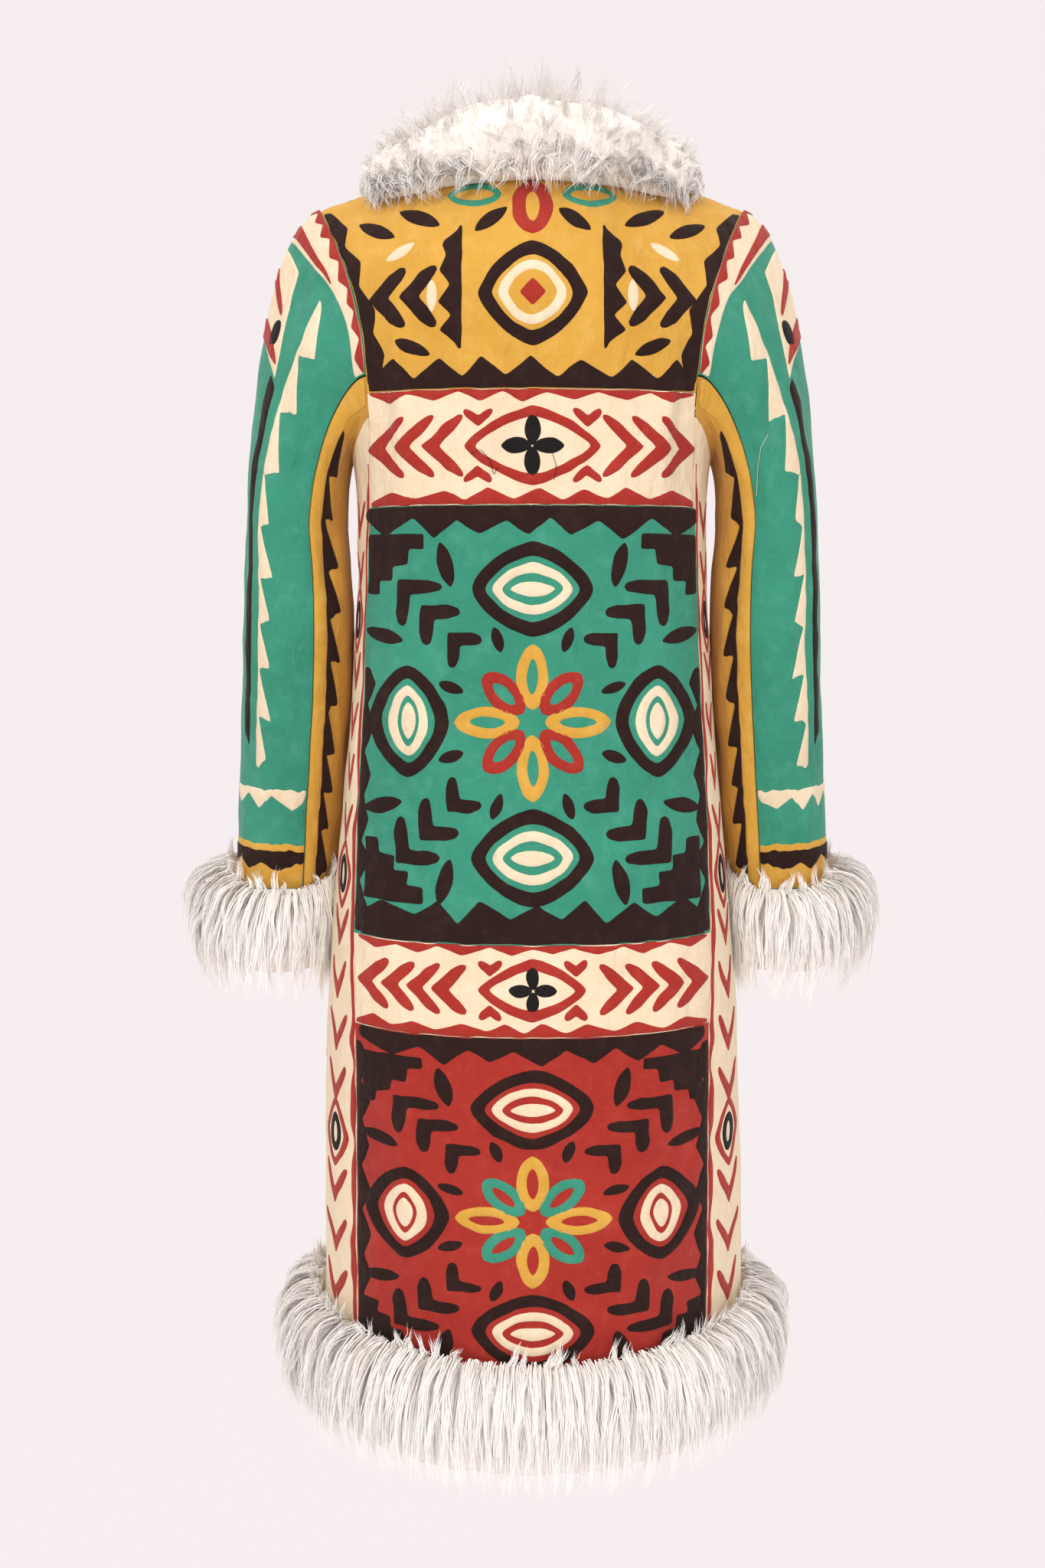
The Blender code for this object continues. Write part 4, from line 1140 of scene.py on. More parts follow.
def block_design(middle, half, petals, seed, floor=-2.0):
    """A block: a rosette, a medallion on each axis, and chevrons and a toothed piece to each corner."""
    design = new_design()
    wide = 0.1455
    high, low = middle + BLOCK_HALF - SEAM, middle - BLOCK_HALF + SEAM
    design["brown"] += [
        level_strip(high, -wide - 0.002, wide + 0.002, 0.0105, 0.0165, 0.042, seed, up=-1),
        level_strip(low, -wide - 0.003, wide + 0.003, 0.0190, 0.0155, 0.042, seed + 1),
    ]
    rosette(design, (0.0, middle), 0.0665, petals)
    for north in (1, -1):
        medallion(design, (0.0, middle + north * 0.1125), 0.0520, 0.0405)
        inner = 0.1600 if north > 0 else 0.1520
        design["brown"] += both([
            chevron((0.0900, middle + north * 0.0930), 0.029, 46, 0.0125, 46 * north),
            chevron((0.1110, middle + north * 0.1140), 0.034, 46, 0.0125, 46 * north),
            corner_piece((wide - 0.001, middle + north * inner), -0.052, -north * 0.052, seed + 3 + north),
            leaf((0.0740, middle + north * 0.1330), 0.040, 0.0135, 76 * north),
            leaf((0.1285, middle + north * 0.0725), 0.036, 0.0130, 14 * north),
            chevron((0.0670, middle + north * 0.0700), 0.025, 46, 0.0115, 46 * north),
            leaf((0.0300, middle + north * 0.0700), 0.024, 0.0100, 72 * north),
            leaf((0.0690, middle + north * 0.0290), 0.024, 0.0100, 20 * north),
        ])
    side = new_design()
    medallion(side, (0.1065, middle), 0.0365, 0.0480)
    for colour in ("brown", "cream"):
        design[colour] += both(side[colour])
    share = half / BLOCK_HALF
    return {c: [scaled(s, middle, share, floor) for s in each] for c, each in design.items()}


MIDDLE = (0.0, 0.0)
SIDE_HALF = 0.088
SIDE_ROW = 0.66


def on_flat_side(shape, across, z):
    """A shape in metres, moved to a place on a side panel."""
    metres = np.array((1 / SIDE_HALF, 1.0))
    return Patch(shape.outline * metres + (across, z), [hole * metres + (across, z) for hole in shape.holes])


def side_design():
    """Two rows of red arrows down a cream side strip, with a black leaf in a red ring now and then."""
    design = new_design()
    for edge in (-1, 1):
        z = np.linspace(HEM + 0.002, UNDERARM - 0.002, 120)
        inner = edge * (0.945 + 0.03 * noise(z[:, None], 0.022, 5 + edge))
        outer = np.full(len(z), edge * 0.995)
        outline = (np.stack((outer, z), axis=1), np.stack((inner, z), axis=1)[::-1])
        design["red"].append(patch(np.concatenate(outline)))
        across = edge * SIDE_ROW
        for i, z in enumerate(np.arange(HEM + 0.040, UNDERARM - 0.045, 0.0445)):
            if i % 5 == 3:
                design["red"].append(on_flat_side(ring(MIDDLE, 0.021, 0.031, 0.0075, 1.3), across, z))
                design["black"].append(on_flat_side(slit_leaf(MIDDLE, 0.036, 0.020, 90), across, z))
            else:
                arrow = chevron(MIDDLE, 0.034, 32, 0.0080, -90)
                design["red"].append(on_flat_side(arrow, across, z - 0.012))
    for z in np.arange(HEM + 0.060, UNDERARM - 0.05, 0.089):
        design["red"].append(on_flat_side(leaf(MIDDLE, 0.040, 0.0080, 90), 0.0, z))
    return design


def front_design():
    """The left front, finished plainly: the same borders with a few of the back's motifs."""
    design = new_design()
    brown = design["brown"]
    start = FRONT_GAP / 2 + 0.001

    def border(z, base, height, pitch, seed, up=1):
        return level_strip(z, start, float(panel_edge(z)) - 0.001, base, height, pitch, seed, up)

    brown += [
        border(UPPER_BAND_TOP + SEAM, 0.0105, 0.0165, 0.041, 103),
        upright_strip(panel_line, -0.208, -0.046, 0.0085, 0.0085, 0.036, 105),
        chevron((0.132, -0.135), 0.036, 48, 0.0125),
    ]
    medallion(design, (0.080, -0.148), 0.0400, 0.0330)
    bands = (
        (MIDDLE_BLOCK_TOP, UPPER_BAND_TOP, 0.0080, 107),
        (LOWER_BLOCK_TOP, LOWER_BAND_TOP, 0.0060, 111),
    )
    for low, high, base, seed in bands:
        level, tall = (low + high) / 2, (high - low) * 0.34
        design["red"] += [
            border(high - SEAM, 0.0020, base, 0.038, seed, -1),
            border(low + SEAM, 0.0042, base, 0.038, seed + 2),
            ring((0.050, level), 1.25 * tall, tall, 0.0090, 1.3),
        ]
        design["red"] += [chevron((tip, level), tall * 1.16, 42, 0.0100) for tip in (0.100, 0.128)]
        design["black"] += flower((0.050, level), tall * 0.66, tall * 0.36)
    blocks = ((LOWER_BAND_TOP, MIDDLE_BLOCK_TOP, "red", 121), (HEM, LOWER_BLOCK_TOP, "green", 131))
    for low, high, colour, seed in blocks:
        middle, reach_z = (low + high) / 2, (high - low) * 0.28
        brown.append(border(high - SEAM, 0.0105, 0.0165, 0.042, seed, -1))
        if low > HEM:
            brown.append(border(low + SEAM, 0.0190, 0.0155, 0.042, seed + 1))
        rosette(design, (0.075, middle), 0.048, ("yellow", colour))
        for north in (1, -1):
            medallion(design, (0.075, middle + north * reach_z), 0.0440, 0.0330)
            for x, turn in ((0.128, 48), (0.022, 132)):
                brown += [
                    chevron((x, middle + north * 0.052), 0.026, 46, 0.0115, turn * north),
                    leaf((x, middle + north * reach_z), 0.036, 0.0120, 90),
                ]
    return design


def sleeve_strip(edge, out, low, high, base, height, pitch, seed):
    """A toothed strip down a sleeve from an angle. Out is the sign of the way in which its teeth point."""
    strip = refined(toothed(low, high, base, height, pitch, seed), 0.008)
    return patch(np.stack((edge + out * strip[:, 1] / ARM_GIRTH * 360, strip[:, 0]), axis=1))


def along_of(z):
    """How far along the sleeve a height of the arm is."""
    return 1 + (SLEEVE_START - z) / (SLEEVE_START - SLEEVE_END)


def walk_of(angle, along):
    return SLEEVE_TABLE.read(SLEEVE_TABLE.walk, np.asarray(angle, float), np.asarray(along, float))


# Cloth pieces


def fine_rows(low, high):
    count = max(3, round((high - low) / GRID))
    rows = np.linspace(low, high, count + 1)
    return np.unique(np.concatenate((rows, (low + 0.0016, high - 0.0016))))


def share_columns(count):
    return np.linspace(-1, 1, count + 1)


def on_back(x, z):
    """A point of the back, no higher than the shoulder line."""
    return on_body(x, np.minimum(z, ridge(x)), 1)


def on_front(x, z):
    """A point of a front, no higher than the shoulder line."""
    return on_body(x, np.minimum(z, ridge(x)), -1)


def back_block(name, low, high, colour, design):
    z = fine_rows(low + SEAM / 2, high - SEAM / 2)[:, None]
    x = share_columns(round(BLOCK_WIDTH / GRID))[None, :] * (panel_edge(z) - SEAM / 2)
    points, normals = on_body(x, z, 1)
    uv = np.stack(np.broadcast_arrays(x, z), axis=-1)
    made = cloth_wall(name, points, normals, uv, [COTTON[colour]])
    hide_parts(name)
    patches = dress(name, design, on_back)


def yoke_grid(side, shares, start):
    rise = 1 - (1 - np.linspace(0, 1, 56)) ** 1.7
    share = np.asarray(shares)[None, :]
    top_x = start + share * (SHOULDER_X - SEAM / 2 - start)
    top_z = np.where(np.abs(top_x) > NECK_X, ridge(top_x), neckline(top_x, side))
    low = UPPER_BAND_TOP + SEAM / 2
    z = low + rise[:, None] * (top_z - low)
    edge_z = low + rise[:, None] * (ridge(SHOULDER_X) - low)
    x = start + share * (panel_edge(edge_z) - SEAM / 2 - start)
    return x, np.minimum(z, ridge(x))


def make_yoke():
    x, z = yoke_grid(1, share_columns(72), 0.0)
    points, normals = on_body(x, z, 1)
    made = cloth_wall("back_yoke", points, normals, np.stack((x, z), axis=-1), [COTTON["yellow"]])
    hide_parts("back_yoke")
    patches = dress("back_yoke", yoke_design(), on_back)


def make_back():
    make_yoke()
    upper = band_design(MIDDLE_BLOCK_TOP, UPPER_BAND_TOP, 0.1425, 0.0340, (0.088, 0.113, 0.138), 7, 0.0085)
    lower_tips = (0.078, 0.100, 0.122, 0.144)
    lower = band_design(LOWER_BLOCK_TOP, LOWER_BAND_TOP, 0.151, 0.0262, lower_tips, 11, 0.0062)
    middle_block = block_design(-0.4965, 0.1835, ("yellow", "red"), 15)
    lower_block = block_design(-0.905, 0.150, ("yellow", "green"), 25, HEM + 0.0012)
    for design, low, high, share in (
        (middle_block, LOWER_BAND_TOP, MIDDLE_BLOCK_TOP, 0.62),
        (lower_block, HEM, LOWER_BLOCK_TOP, 0.95),
    ):
        end = low + (high - low) * share
        design["brown"] += both([upright_strip(panel_line, low + 0.002, end, 0.0055, 0.0075, 0.036, 31)])
    back_block("back_band_upper", MIDDLE_BLOCK_TOP, UPPER_BAND_TOP, "cream", upper)
    back_block("back_block_middle", LOWER_BAND_TOP, MIDDLE_BLOCK_TOP, "green", middle_block)
    back_block("back_band_lower", LOWER_BLOCK_TOP, LOWER_BAND_TOP, "cream", lower)
    back_block("back_block_lower", HEM, LOWER_BLOCK_TOP, "red", lower_block)


def make_fronts():
    bands = ((HEM, LOWER_BLOCK_TOP, 4), (LOWER_BLOCK_TOP, LOWER_BAND_TOP, 1),
             (LOWER_BAND_TOP, MIDDLE_BLOCK_TOP, 0), (MIDDLE_BLOCK_TOP, UPPER_BAND_TOP, 2))
    materials = [COTTON[colour] for colour in ("green", "cream", "cream", "yellow", "red")]
    yoke_number = 3
    shares = np.linspace(0, 1, 31)
    start = FRONT_GAP / 2
    rows, numbers = [], []
    for low, high, number in bands:
        z = fine_rows(low, high)[:-1]
        rows.append(z)
        numbers += [number] * len(z)
    z = np.concatenate(rows)[:, None]
    x = start + shares[None, :] * (panel_edge(z) - SEAM / 2 - start)
    high_x, high_z = yoke_grid(-1, shares, start)
    x = np.concatenate((x, high_x))
    z = np.concatenate((np.broadcast_to(z, (len(z), len(shares))), high_z))
    numbers += [yoke_number] * (len(high_x) - 1)
    design = front_design()
    for hand, name in ((1, "front_left"), (-1, "front_right")):
        points, normals = on_body(hand * x, z, -1)
        uv = np.stack((hand * x, z), axis=-1)
        made = cloth_wall(name, points, normals, uv, materials, numbers)
        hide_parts(name)
        shapes = design if hand > 0 else {c: [mirrored_patch(s) for s in each] for c, each in design.items()}
        patches = dress(name, shapes, on_front)


def make_sides():
    across = share_columns(24)[None, :]
    top = UNDERARM + (ARMHOLE_CORNER - UNDERARM) * across**2
    rise = np.linspace(0, 1, 140)[:, None]
    z = HEM + rise * (top - HEM)
    for hand, name in ((1, "side_panel_left"), (-1, "side_panel_right")):
        points, normals = on_side(across, z, hand)
        uv = np.stack(np.broadcast_arrays(across * SIDE_HALF, z), axis=-1)
        made = cloth_wall(name, points, normals, uv, [COTTON["cream"]])
        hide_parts(name)
        place = functools.partial(on_side, hand=hand)
        patches = dress(name, side_design(), place, (SIDE_HALF, 1.0))


def round_strip(z, low, high, base, height, pitch, seed, slant=0.0):
    """A strip round a sleeve below a height of the arm, its teeth pointing down. Pitch is in degrees."""
    strip = refined(toothed(low, high, base, height, pitch, seed) * (1, 360 / ARM_GIRTH), 3.0)
    strip = strip * (1, ARM_GIRTH / 360)
    down = walk_of(strip[:, 0], along_of(z)) + slant * np.abs(strip[:, 0]) / 180 + strip[:, 1]
    return patch(np.stack((strip[:, 0], down), axis=1))


def on_flat_sleeve(shape, down, angle=0.0):
    """A shape in metres, moved to an angle and a distance down a sleeve."""
    stretch = np.array((360 / ARM_GIRTH, 1.0))
    holes = [hole * stretch + (angle, down) for hole in shape.holes]
    return Patch(shape.outline * stretch + (angle, down), holes)


def fine_on_sleeve(outline, step):
    """An outline of degrees and metres with no long side, where 500 degrees count as a metre."""
    return patch(refined(outline * (1, 500), step) / (1, 500))


def sleeve_top_design(hand):
    """Stripes down the upper side of a sleeve, in degrees round it and metres down from the armhole."""
    seed = 200 if hand > 0 else 300
    limit = SEAM_ANGLE - 1.0
    stripe_end = float(walk_of(60, along_of(-0.547)))
    design, upper = new_design(), new_design()
    angles = np.linspace(-limit, limit, 75)
    head = 0.0215 - 0.0090 * (np.abs(angles) / limit) ** 1.5
    head = head + 0.0014 * noise(angles[:, None], 17.0, seed)
    wedge = 0.0130 * np.clip(1 - np.abs(angles) / 62, 0, 1) ** 0.8
    line = head + wedge + 0.0050 * np.clip(1 - np.abs(angles) / 68, 0, 1) ** 0.5
    top = np.stack((angles, np.full(angles.shape, 0.0001)), axis=1)
    design["cream"].append(patch(np.concatenate((top, np.stack((angles, line), axis=1)[::-1]))))
    wide = np.abs(angles) < 58
    edges = [np.stack((angles, down), axis=1)[wide] for down in (head, head + wedge)]
    upper["red"].append(patch(np.concatenate((edges[0], edges[1][::-1]))))
    for side in (1, -1):
        design["cream"] += [
            sleeve_strip(side * 55.0, side, 0.036, 0.196, 0.0030, 0.0185, 0.050, seed + 1 + side),
            sleeve_strip(side * 55.0, side, 0.196, stripe_end, 0.0028, 0.0128, 0.043, seed + 12 + side),
        ]
        design["brown"].append(
            sleeve_strip(side * 44.0, -side, 0.135, stripe_end, 0.0100, 0.0035, 0.050, seed + 3 + side))
    panel = np.array(((-26.0, 0.047), (26.0, 0.047), (40.0, 0.132), (-40.0, 0.132)))
    design["cream"].append(fine_on_sleeve(panel, 4.0))
    design["cream"].append(round_strip(-0.560, -limit, limit, 0.0065, 0.0125, 31.0, seed + 7, 0.009))
    low = walk_of(angles, along_of(SLEEVE_END)) - 0.0002
    high = walk_of(angles, along_of(-0.6100)) + 0.008 * np.abs(angles) / 180
    cuff = np.concatenate((np.stack((angles, high), axis=1), np.stack((angles, low), axis=1)[::-1]))
    design["yellow"].append(patch(cuff))
    teeth = toothed(-limit, limit, 0.0024, 0.0075, 15.0, seed + 9) + (0, 0.0002)
    upper["red"].append(fine_on_sleeve(teeth, 3.0))
    upper["brown"].append(round_strip(-0.6160, -limit, limit, 0.0100, 0.0080, 40.0, seed + 11, 0.008))
    upper["red"] += [
        on_flat_sleeve(chevron(MIDDLE, 0.030, 52, 0.0100, -90), 0.072),
        on_flat_sleeve(leaf(MIDDLE, 0.070, 0.0180, 0), 0.122),
    ]
    for side in (1, -1):
        dark = leaf(MIDDLE, 0.032, 0.0105, 90 + side * 16)
        upper["black"].append(on_flat_sleeve(dark, 0.108, side * 23))
    return design, upper


def sleeve_under_design(hand):
    """The yellow tape at each seam and the dark teeth beside it."""
    seed = 220 if hand > 0 else 320
    design = new_design()
    tape, start, teeth_start = 13.5, 0.001, 0.034
    for side in (1, -1):
        edge = 180 - side * (180 - SEAM_ANGLE - 1.0)
        far = edge + side * tape
        end = float(walk_of(edge, along_of(SLEEVE_END))) - 0.0010
        strip = np.array(((edge, start), (far, start), (far, end), (edge, end)))
        design["yellow"].append(fine_on_sleeve(strip, 4.0))
        teeth = sleeve_strip(far + side * 0.4, side, teeth_start, end, 0.0040, 0.0120, 0.039, seed + side)
        design["brown"].append(teeth)
    return design


def on_sleeve_walk(hand):
    """A function that lays degrees round a sleeve and metres down it on its surface."""
    def place(angle, walk):
        return on_sleeve(angle, SLEEVE_TABLE.at_walk(angle, walk), hand)
    return place


def make_sleeves():
    top = np.linspace(360 - SEAM_ANGLE + 0.5, 360 + SEAM_ANGLE - 0.5, 60)[None, :]
    under = np.linspace(SEAM_ANGLE + 0.5, 360 - SEAM_ANGLE - 0.5, 31)[None, :]
    along = np.concatenate((np.linspace(0, 1, 52), np.linspace(1, 2, 60)[1:]))[:, None]
    # The under pieces use the darker yellow, which paints the shade under the arm into the cloth.
    pieces = {"sleeve_top": (top, "green", (0.29, 0.60)), "sleeve_under": (under, "shaded_yellow", (0.17, 0.47))}
    for hand, end in ((1, "left"), (-1, "right")):
        for base, (angles, colour, flat) in pieces.items():
            name = f"{base}_{end}"
            points, normals = on_sleeve(angles, along, hand)
            uv = np.stack(np.broadcast_arrays(angles / 360 * ARM_GIRTH, along * 0.32), axis=-1)
            made = cloth_wall(name, points, normals, uv, [COTTON[colour]])
            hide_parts(name)
            place, metric = on_sleeve_walk(hand), (ARM_GIRTH / 360, 1.0)
            if base == "sleeve_top":
                design, upper = sleeve_top_design(hand)
                patches = dress(name, design, place, metric)
                patches += dress(f"{name}_second", upper, place, metric, level=1.6)
            else:
                patches = dress(name, sleeve_under_design(hand), place, metric, level=1)


THREAD_RADIUS = 0.00028


def thread(name, centres, place, colour):
    """A loose thread of three sides lying on the cloth, through points of its flat drawing."""
    count = 24
    share = np.linspace(0, len(centres) - 1, count)
    centres = np.asarray(centres, float)
    u, v = (np.interp(share, range(len(centres)), centres[:, k]) for k in range(2))
    middle, normals = place(u, v)
    middle = middle + normals * (0.0014 + 0.0006 * np.sin(share * 3.1))[:, None]
    middle[1:-1] = (middle[:-2] + 2 * middle[1:-1] + middle[2:]) / 4
    across = unit(np.cross(np.gradient(middle, axis=0), normals))
    sides = []
    for turn in np.radians((90, 210, 330)):
        sides.append(middle + (across * np.cos(turn) + normals * np.sin(turn)) * THREAD_RADIUS)
    points = np.stack(sides, axis=1).reshape(-1, 3)
    faces = []
    for i, k in itertools.product(range(count - 1), range(3)):
        onward = (k + 1) % 3
        faces.append((3 * i + k, 3 * i + onward, 3 * i + 3 + onward, 3 * i + 3 + k))
    mesh_piece(name, points, faces, [COTTON[colour]])


def make_threads():
    """The loose ends that show on the back: two dark ones on the upper band, a pale one on a sleeve."""
    long = ((0.052, -0.270), (0.044, -0.266), (0.035, -0.276), (0.033, -0.288), (0.029, -0.281))
    short = ((-0.016, -0.268), (-0.020, -0.280), (-0.018, -0.292))
    pale = ((84, 0.118), (94, 0.112), (103, 0.118), (108, 0.130))
    thread("loose_thread_band", long, on_back, "black")
    thread("loose_thread_middle", short, on_back, "black")
    thread("loose_thread_sleeve", pale, on_sleeve_walk(-1), "cream")


# Fur

Locks = namedtuple("Locks", "root control tip outward curl turns phase tone")

# The ribbons of a lock: how many, the samples along each, how far apart they start, and their width.
Ribbons = namedtuple("Ribbons", "each samples spread width")
SILKY = Ribbons(each=17, samples=6, spread=0.0050, width=0.0010)
CURLY = Ribbons(each=13, samples=7, spread=0.0058, width=0.0011)

# Locks along each piece of fur, and rows of them across it.
HEM_LOCKS = (150, 9)
CUFF_LOCKS = (44, 9)
COLLAR_LOCKS = (66, 12)


def scattered(draw, counts, low, high):
    """Shares along and across a piece of fur, one pair for each lock, unevenly spaced."""
    along, across = counts
    first = (np.arange(along)[:, None] + draw.uniform(low, high, counts)) / along
    second = (np.arange(across)[None, :] + draw.uniform(0, 1, counts)) / across
    return first.reshape(-1), second.reshape(-1)


def hair(name, locks, ribbons, seed):
    """Ribbons of hair in pointed locks: each lock's ribbons start apart and close up to its tip."""
    each, samples, spread, width = ribbons
    draw = np.random.default_rng(seed)
    which = np.repeat(np.arange(len(locks.root)), each)
    count = len(which)
    t = np.linspace(0, 1, samples)
    u = (t[None, :] * draw.uniform(0.70, 1.05, count)[:, None])[..., None]
    root, control, tip, outward = (np.asarray(part)[which][:, None, :] for part in locks[:4])
    path = (1 - u) ** 2 * root + 2 * (1 - u) * u * control + u * u * tip
    forward = unit((1 - u) * (control - root) + u * (tip - control))
    across = unit(np.cross(forward, outward))
    up = np.cross(across, forward)
    radius = (spread * np.sqrt(draw.uniform(0, 1, count)))[:, None, None] * (1 - 0.80 * u**0.8)
    around = draw.uniform(0, 2 * np.pi, count)[:, None, None]
    path = path + radius * (np.cos(around) * across + np.sin(around) * up)
    phase = (np.asarray(locks.phase)[which] + draw.normal(0, 0.45, count))[:, None, None]
    turns = (np.asarray(locks.turns)[which] * draw.uniform(0.9, 1.1, count))[:, None, None]
    swing_size = np.asarray(locks.curl)[which][:, None, None] * u**0.8
    wave = 2 * np.pi * turns * u + phase
    path = path + swing_size * (np.sin(wave) * across + 0.7 * np.cos(wave) * up)
    stray = draw.normal(0, 1, (count, 1, 3)) * 0.0016
    path = path + stray * u * u
    roll = draw.uniform(-0.65, 0.65, count)[:, None, None]
    face = np.cos(roll) * across + np.sin(roll) * up
    own = np.cos(roll) * up - np.sin(roll) * across
    half = (width / 2 * draw.uniform(0.7, 1.25, count))[:, None] * ((1 - t) ** 0.6 + 0.06)[None, :]
    sides = np.stack((path - face * half[..., None], path + face * half[..., None]), axis=2)
    soft = unit(outward * 0.90 + own * 0.50)
    normals = np.broadcast_to(soft[:, :, None, :], sides.shape)
    first = (np.arange(count) * samples * 2)[:, None] + (np.arange(samples - 1) * 2)[None, :]
    a = first.reshape(-1)
    quads = np.stack((a, a + 1, a + 3, a + 2), axis=1)
    tone = np.asarray(locks.tone)[which] + draw.normal(0, 0.12, count)
    facts = {
        "along": np.broadcast_to(t[None, :, None], sides.shape[:3]).reshape(-1),
        "tone": np.broadcast_to(np.clip(tone, 0, 1)[:, None, None], sides.shape[:3]).reshape(-1),
    }
    made = mesh_piece(name, sides.reshape(-1, 3), quads, [FUR], normals=normals.reshape(-1, 3), facts=facts)
    return made


def lock_facts(draw, count, curl, turns):
    return {
        "curl": curl * draw.uniform(0.5, 1.3, count),
        "turns": turns * draw.uniform(0.7, 1.3, count),
        "phase": draw.uniform(0, 2 * np.pi, count),
        "tone": np.clip(draw.normal(0.35, 0.28, count), 0, 1),
    }


def ring_mesh(name, sections, closed, node_name):
    """The dense fur under the locks: a solid through closed outlines, with a little unevenness."""
    stations, around = sections.shape[:2]
    points = sections.reshape(-1, 3)
    s, i = np.meshgrid(np.arange(stations if closed else stations - 1), np.arange(around), indexing="ij")
    here, there = (s * around).reshape(-1), ((s + 1) % stations * around).reshape(-1)
    i = i.reshape(-1)
    j = (i + 1) % around
    first = np.stack((here + i, here + j, there + j), axis=1)
    second = np.stack((here + i, there + j, there + i), axis=1)
    faces = [first, second]
    if not closed:
        fan = np.arange(1, around - 1)
        zero = np.zeros(len(fan), dtype=int)
        end = (stations - 1) * around
        faces.append(np.stack((zero, fan + 1, fan), axis=1))
        faces.append(np.stack((zero + end, end + fan, end + fan + 1), axis=1))
    faces = np.concatenate(faces)
    a, b, c = (points[faces[:, k]] for k in range(3))
    if (np.einsum("ij,ij->i", a, np.cross(b, c))).sum() < 0:
        faces = faces[:, ::-1]
    made = mesh_piece(name, points, faces, [UNDERCOAT])
    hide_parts(node_name)
    return made


def outline_at(table, share):
    """Out and down of a fur outline, read along it from 0 to 1."""
    at = np.clip(share, 0, 1) * (len(table) - 1)
    outs = np.interp(at, range(len(table)), [p.out for p in table])
    downs = np.interp(at, range(len(table)), [p.down for p in table])
    return outs, downs


def lumps(points, amount, seed):
    return amount * (noise(points, 0.022, seed) + 0.5 * noise(points, 0.010, seed + 1))


def hem_place(turn, down):
    """Points off the body's end, hanging a little lower at the centre back."""
    sag = HEM_SAG * np.clip(np.cos(turn), 0, 1) ** 1.5 * (down < 0.075)
    point, out = on_round(np.abs(turn), HEM - down - sag)
    flip = np.stack((np.where(turn < 0, -1.0, 1.0), np.ones(turn.shape), np.ones(turn.shape)), axis=-1)
    return point * flip, out * flip


def make_hem():
    limit = np.pi - float(turn_at(FRONT_GAP / 2, np.array(HEM)))
    turns = np.linspace(-limit, limit, 181)[:, None]
    rows = np.linspace(0, 1, 16)[None, :]
    outs, downs = outline_at(HEM_FUR, rows)
    point, out = hem_place(*np.broadcast_arrays(turns, downs * np.where(downs > 0, 0.80, 0.7)))
    skin = point + out * (ON_CLOTH + HEM_FLARE * outs * 0.62)[..., None]
    skin = skin + out * lumps(skin, 0.0028, 81)[..., None] * np.minimum(outs * 3, 1)[..., None]
    inner = []
    for down, inset in ((0.056, 0.006), (0.030, 0.005), (0.0005, 0.0025), (0.0005, -0.0008)):
        point, out = hem_place(turns[:, 0], np.full(len(turns), down))
        inner.append(point - out * inset)
    sections = np.concatenate((skin, np.stack(inner, axis=1)), axis=1)
    ring_mesh("hem_fur_undercoat", sections, False, "hem_fur")
    draw = np.random.default_rng(401)
    turn, row = scattered(draw, HEM_LOCKS, 0.1, 0.9)
    turn = -limit + turn * 2 * limit
    count = len(turn)
    root_out, root_down = outline_at(HEM_FUR, 0.01 + 0.50 * row)
    root, out = hem_place(turn, root_down * np.where(root_down > 0, 0.80, 0.7))
    root = root + out * (ON_CLOTH + HEM_FLARE * root_out * 0.56)[:, None]
    share = np.clip(0.52 + 0.46 * row + draw.normal(0, 0.06, count), 0.30, 1.0)
    tip_out, tip_down = outline_at(HEM_FUR, share)
    flare = HEM_FLARE * draw.uniform(0.86, 1.10, count)
    drop = np.where(share > 0.75, draw.uniform(-0.010, 0.012, count), 0)
    place, tip_way = hem_place(turn + draw.normal(0, 0.012, count), tip_down + drop)
    tip = place + tip_way * (ON_CLOTH + tip_out * flare)[:, None]
    crest, crest_way = hem_place(turn, -0.034 + 0.075 * row)
    control = crest + crest_way * (HEM_FLARE * draw.uniform(0.94, 1.20, count))[:, None]
    lifted = ((row < 0.15) & (draw.uniform(0, 1, count) < 0.5))[:, None]
    place, tip_way = hem_place(turn + draw.normal(0, 0.03, count), draw.uniform(-0.044, -0.030, count))
    tip = np.where(lifted, place + tip_way * draw.uniform(0.006, 0.020, count)[:, None], tip)
    control = np.where(lifted, root + out * 0.008 + np.array((0.0, 0.0, 0.005)), control)
    outward = unit(out + np.array((0.0, 0.0, 0.40)))
    facts = lock_facts(draw, count, 0.0022, 1.1)
    for name, chosen in (("left", turn >= 0), ("right", turn < 0)):
        some = {key: value[chosen] for key, value in facts.items()}
        locks = Locks(root[chosen], control[chosen], tip[chosen], outward[chosen], **some)
        hair(f"hem_fur_hair_{name}", locks, SILKY, 411)


def cuff_place(angle, down, out_share, flare_scale):
    """Points off the left sleeve's end, flaring most on its outer side and hanging lower at the back."""
    sag = CUFF_SAG * np.clip(np.sin(np.radians(angle)), 0, 1) ** 1.5 * np.clip((0.10 - down) / 0.09, 0, 1)
    z = SLEEVE_END - down - sag
    lean = (1 + np.cos(np.radians(angle))) / 2
    flare = CUFF_SIDE_FLARE * np.sin(np.radians(angle)) ** 2 * (1 - lean) + CUFF_FLARE * lean**0.8
    here = arm_surface(angle, np.maximum(z, SLEEVE_END - 0.06), 0.0)
    outer, inner = (arm_surface(np.full(np.shape(z), turn), z, 0.0) for turn in (0.0, 180.0))
    out = here - (outer + inner) / 2
    out[..., 2] = 0.0
    out = unit(out)
    point = here + out * (ON_CLOTH + out_share * flare * flare_scale)[..., None]
    point[..., 2] = z
    point[..., 0] = np.maximum(point[..., 0], half_width(z) + ON_CLOTH)
    return point, out


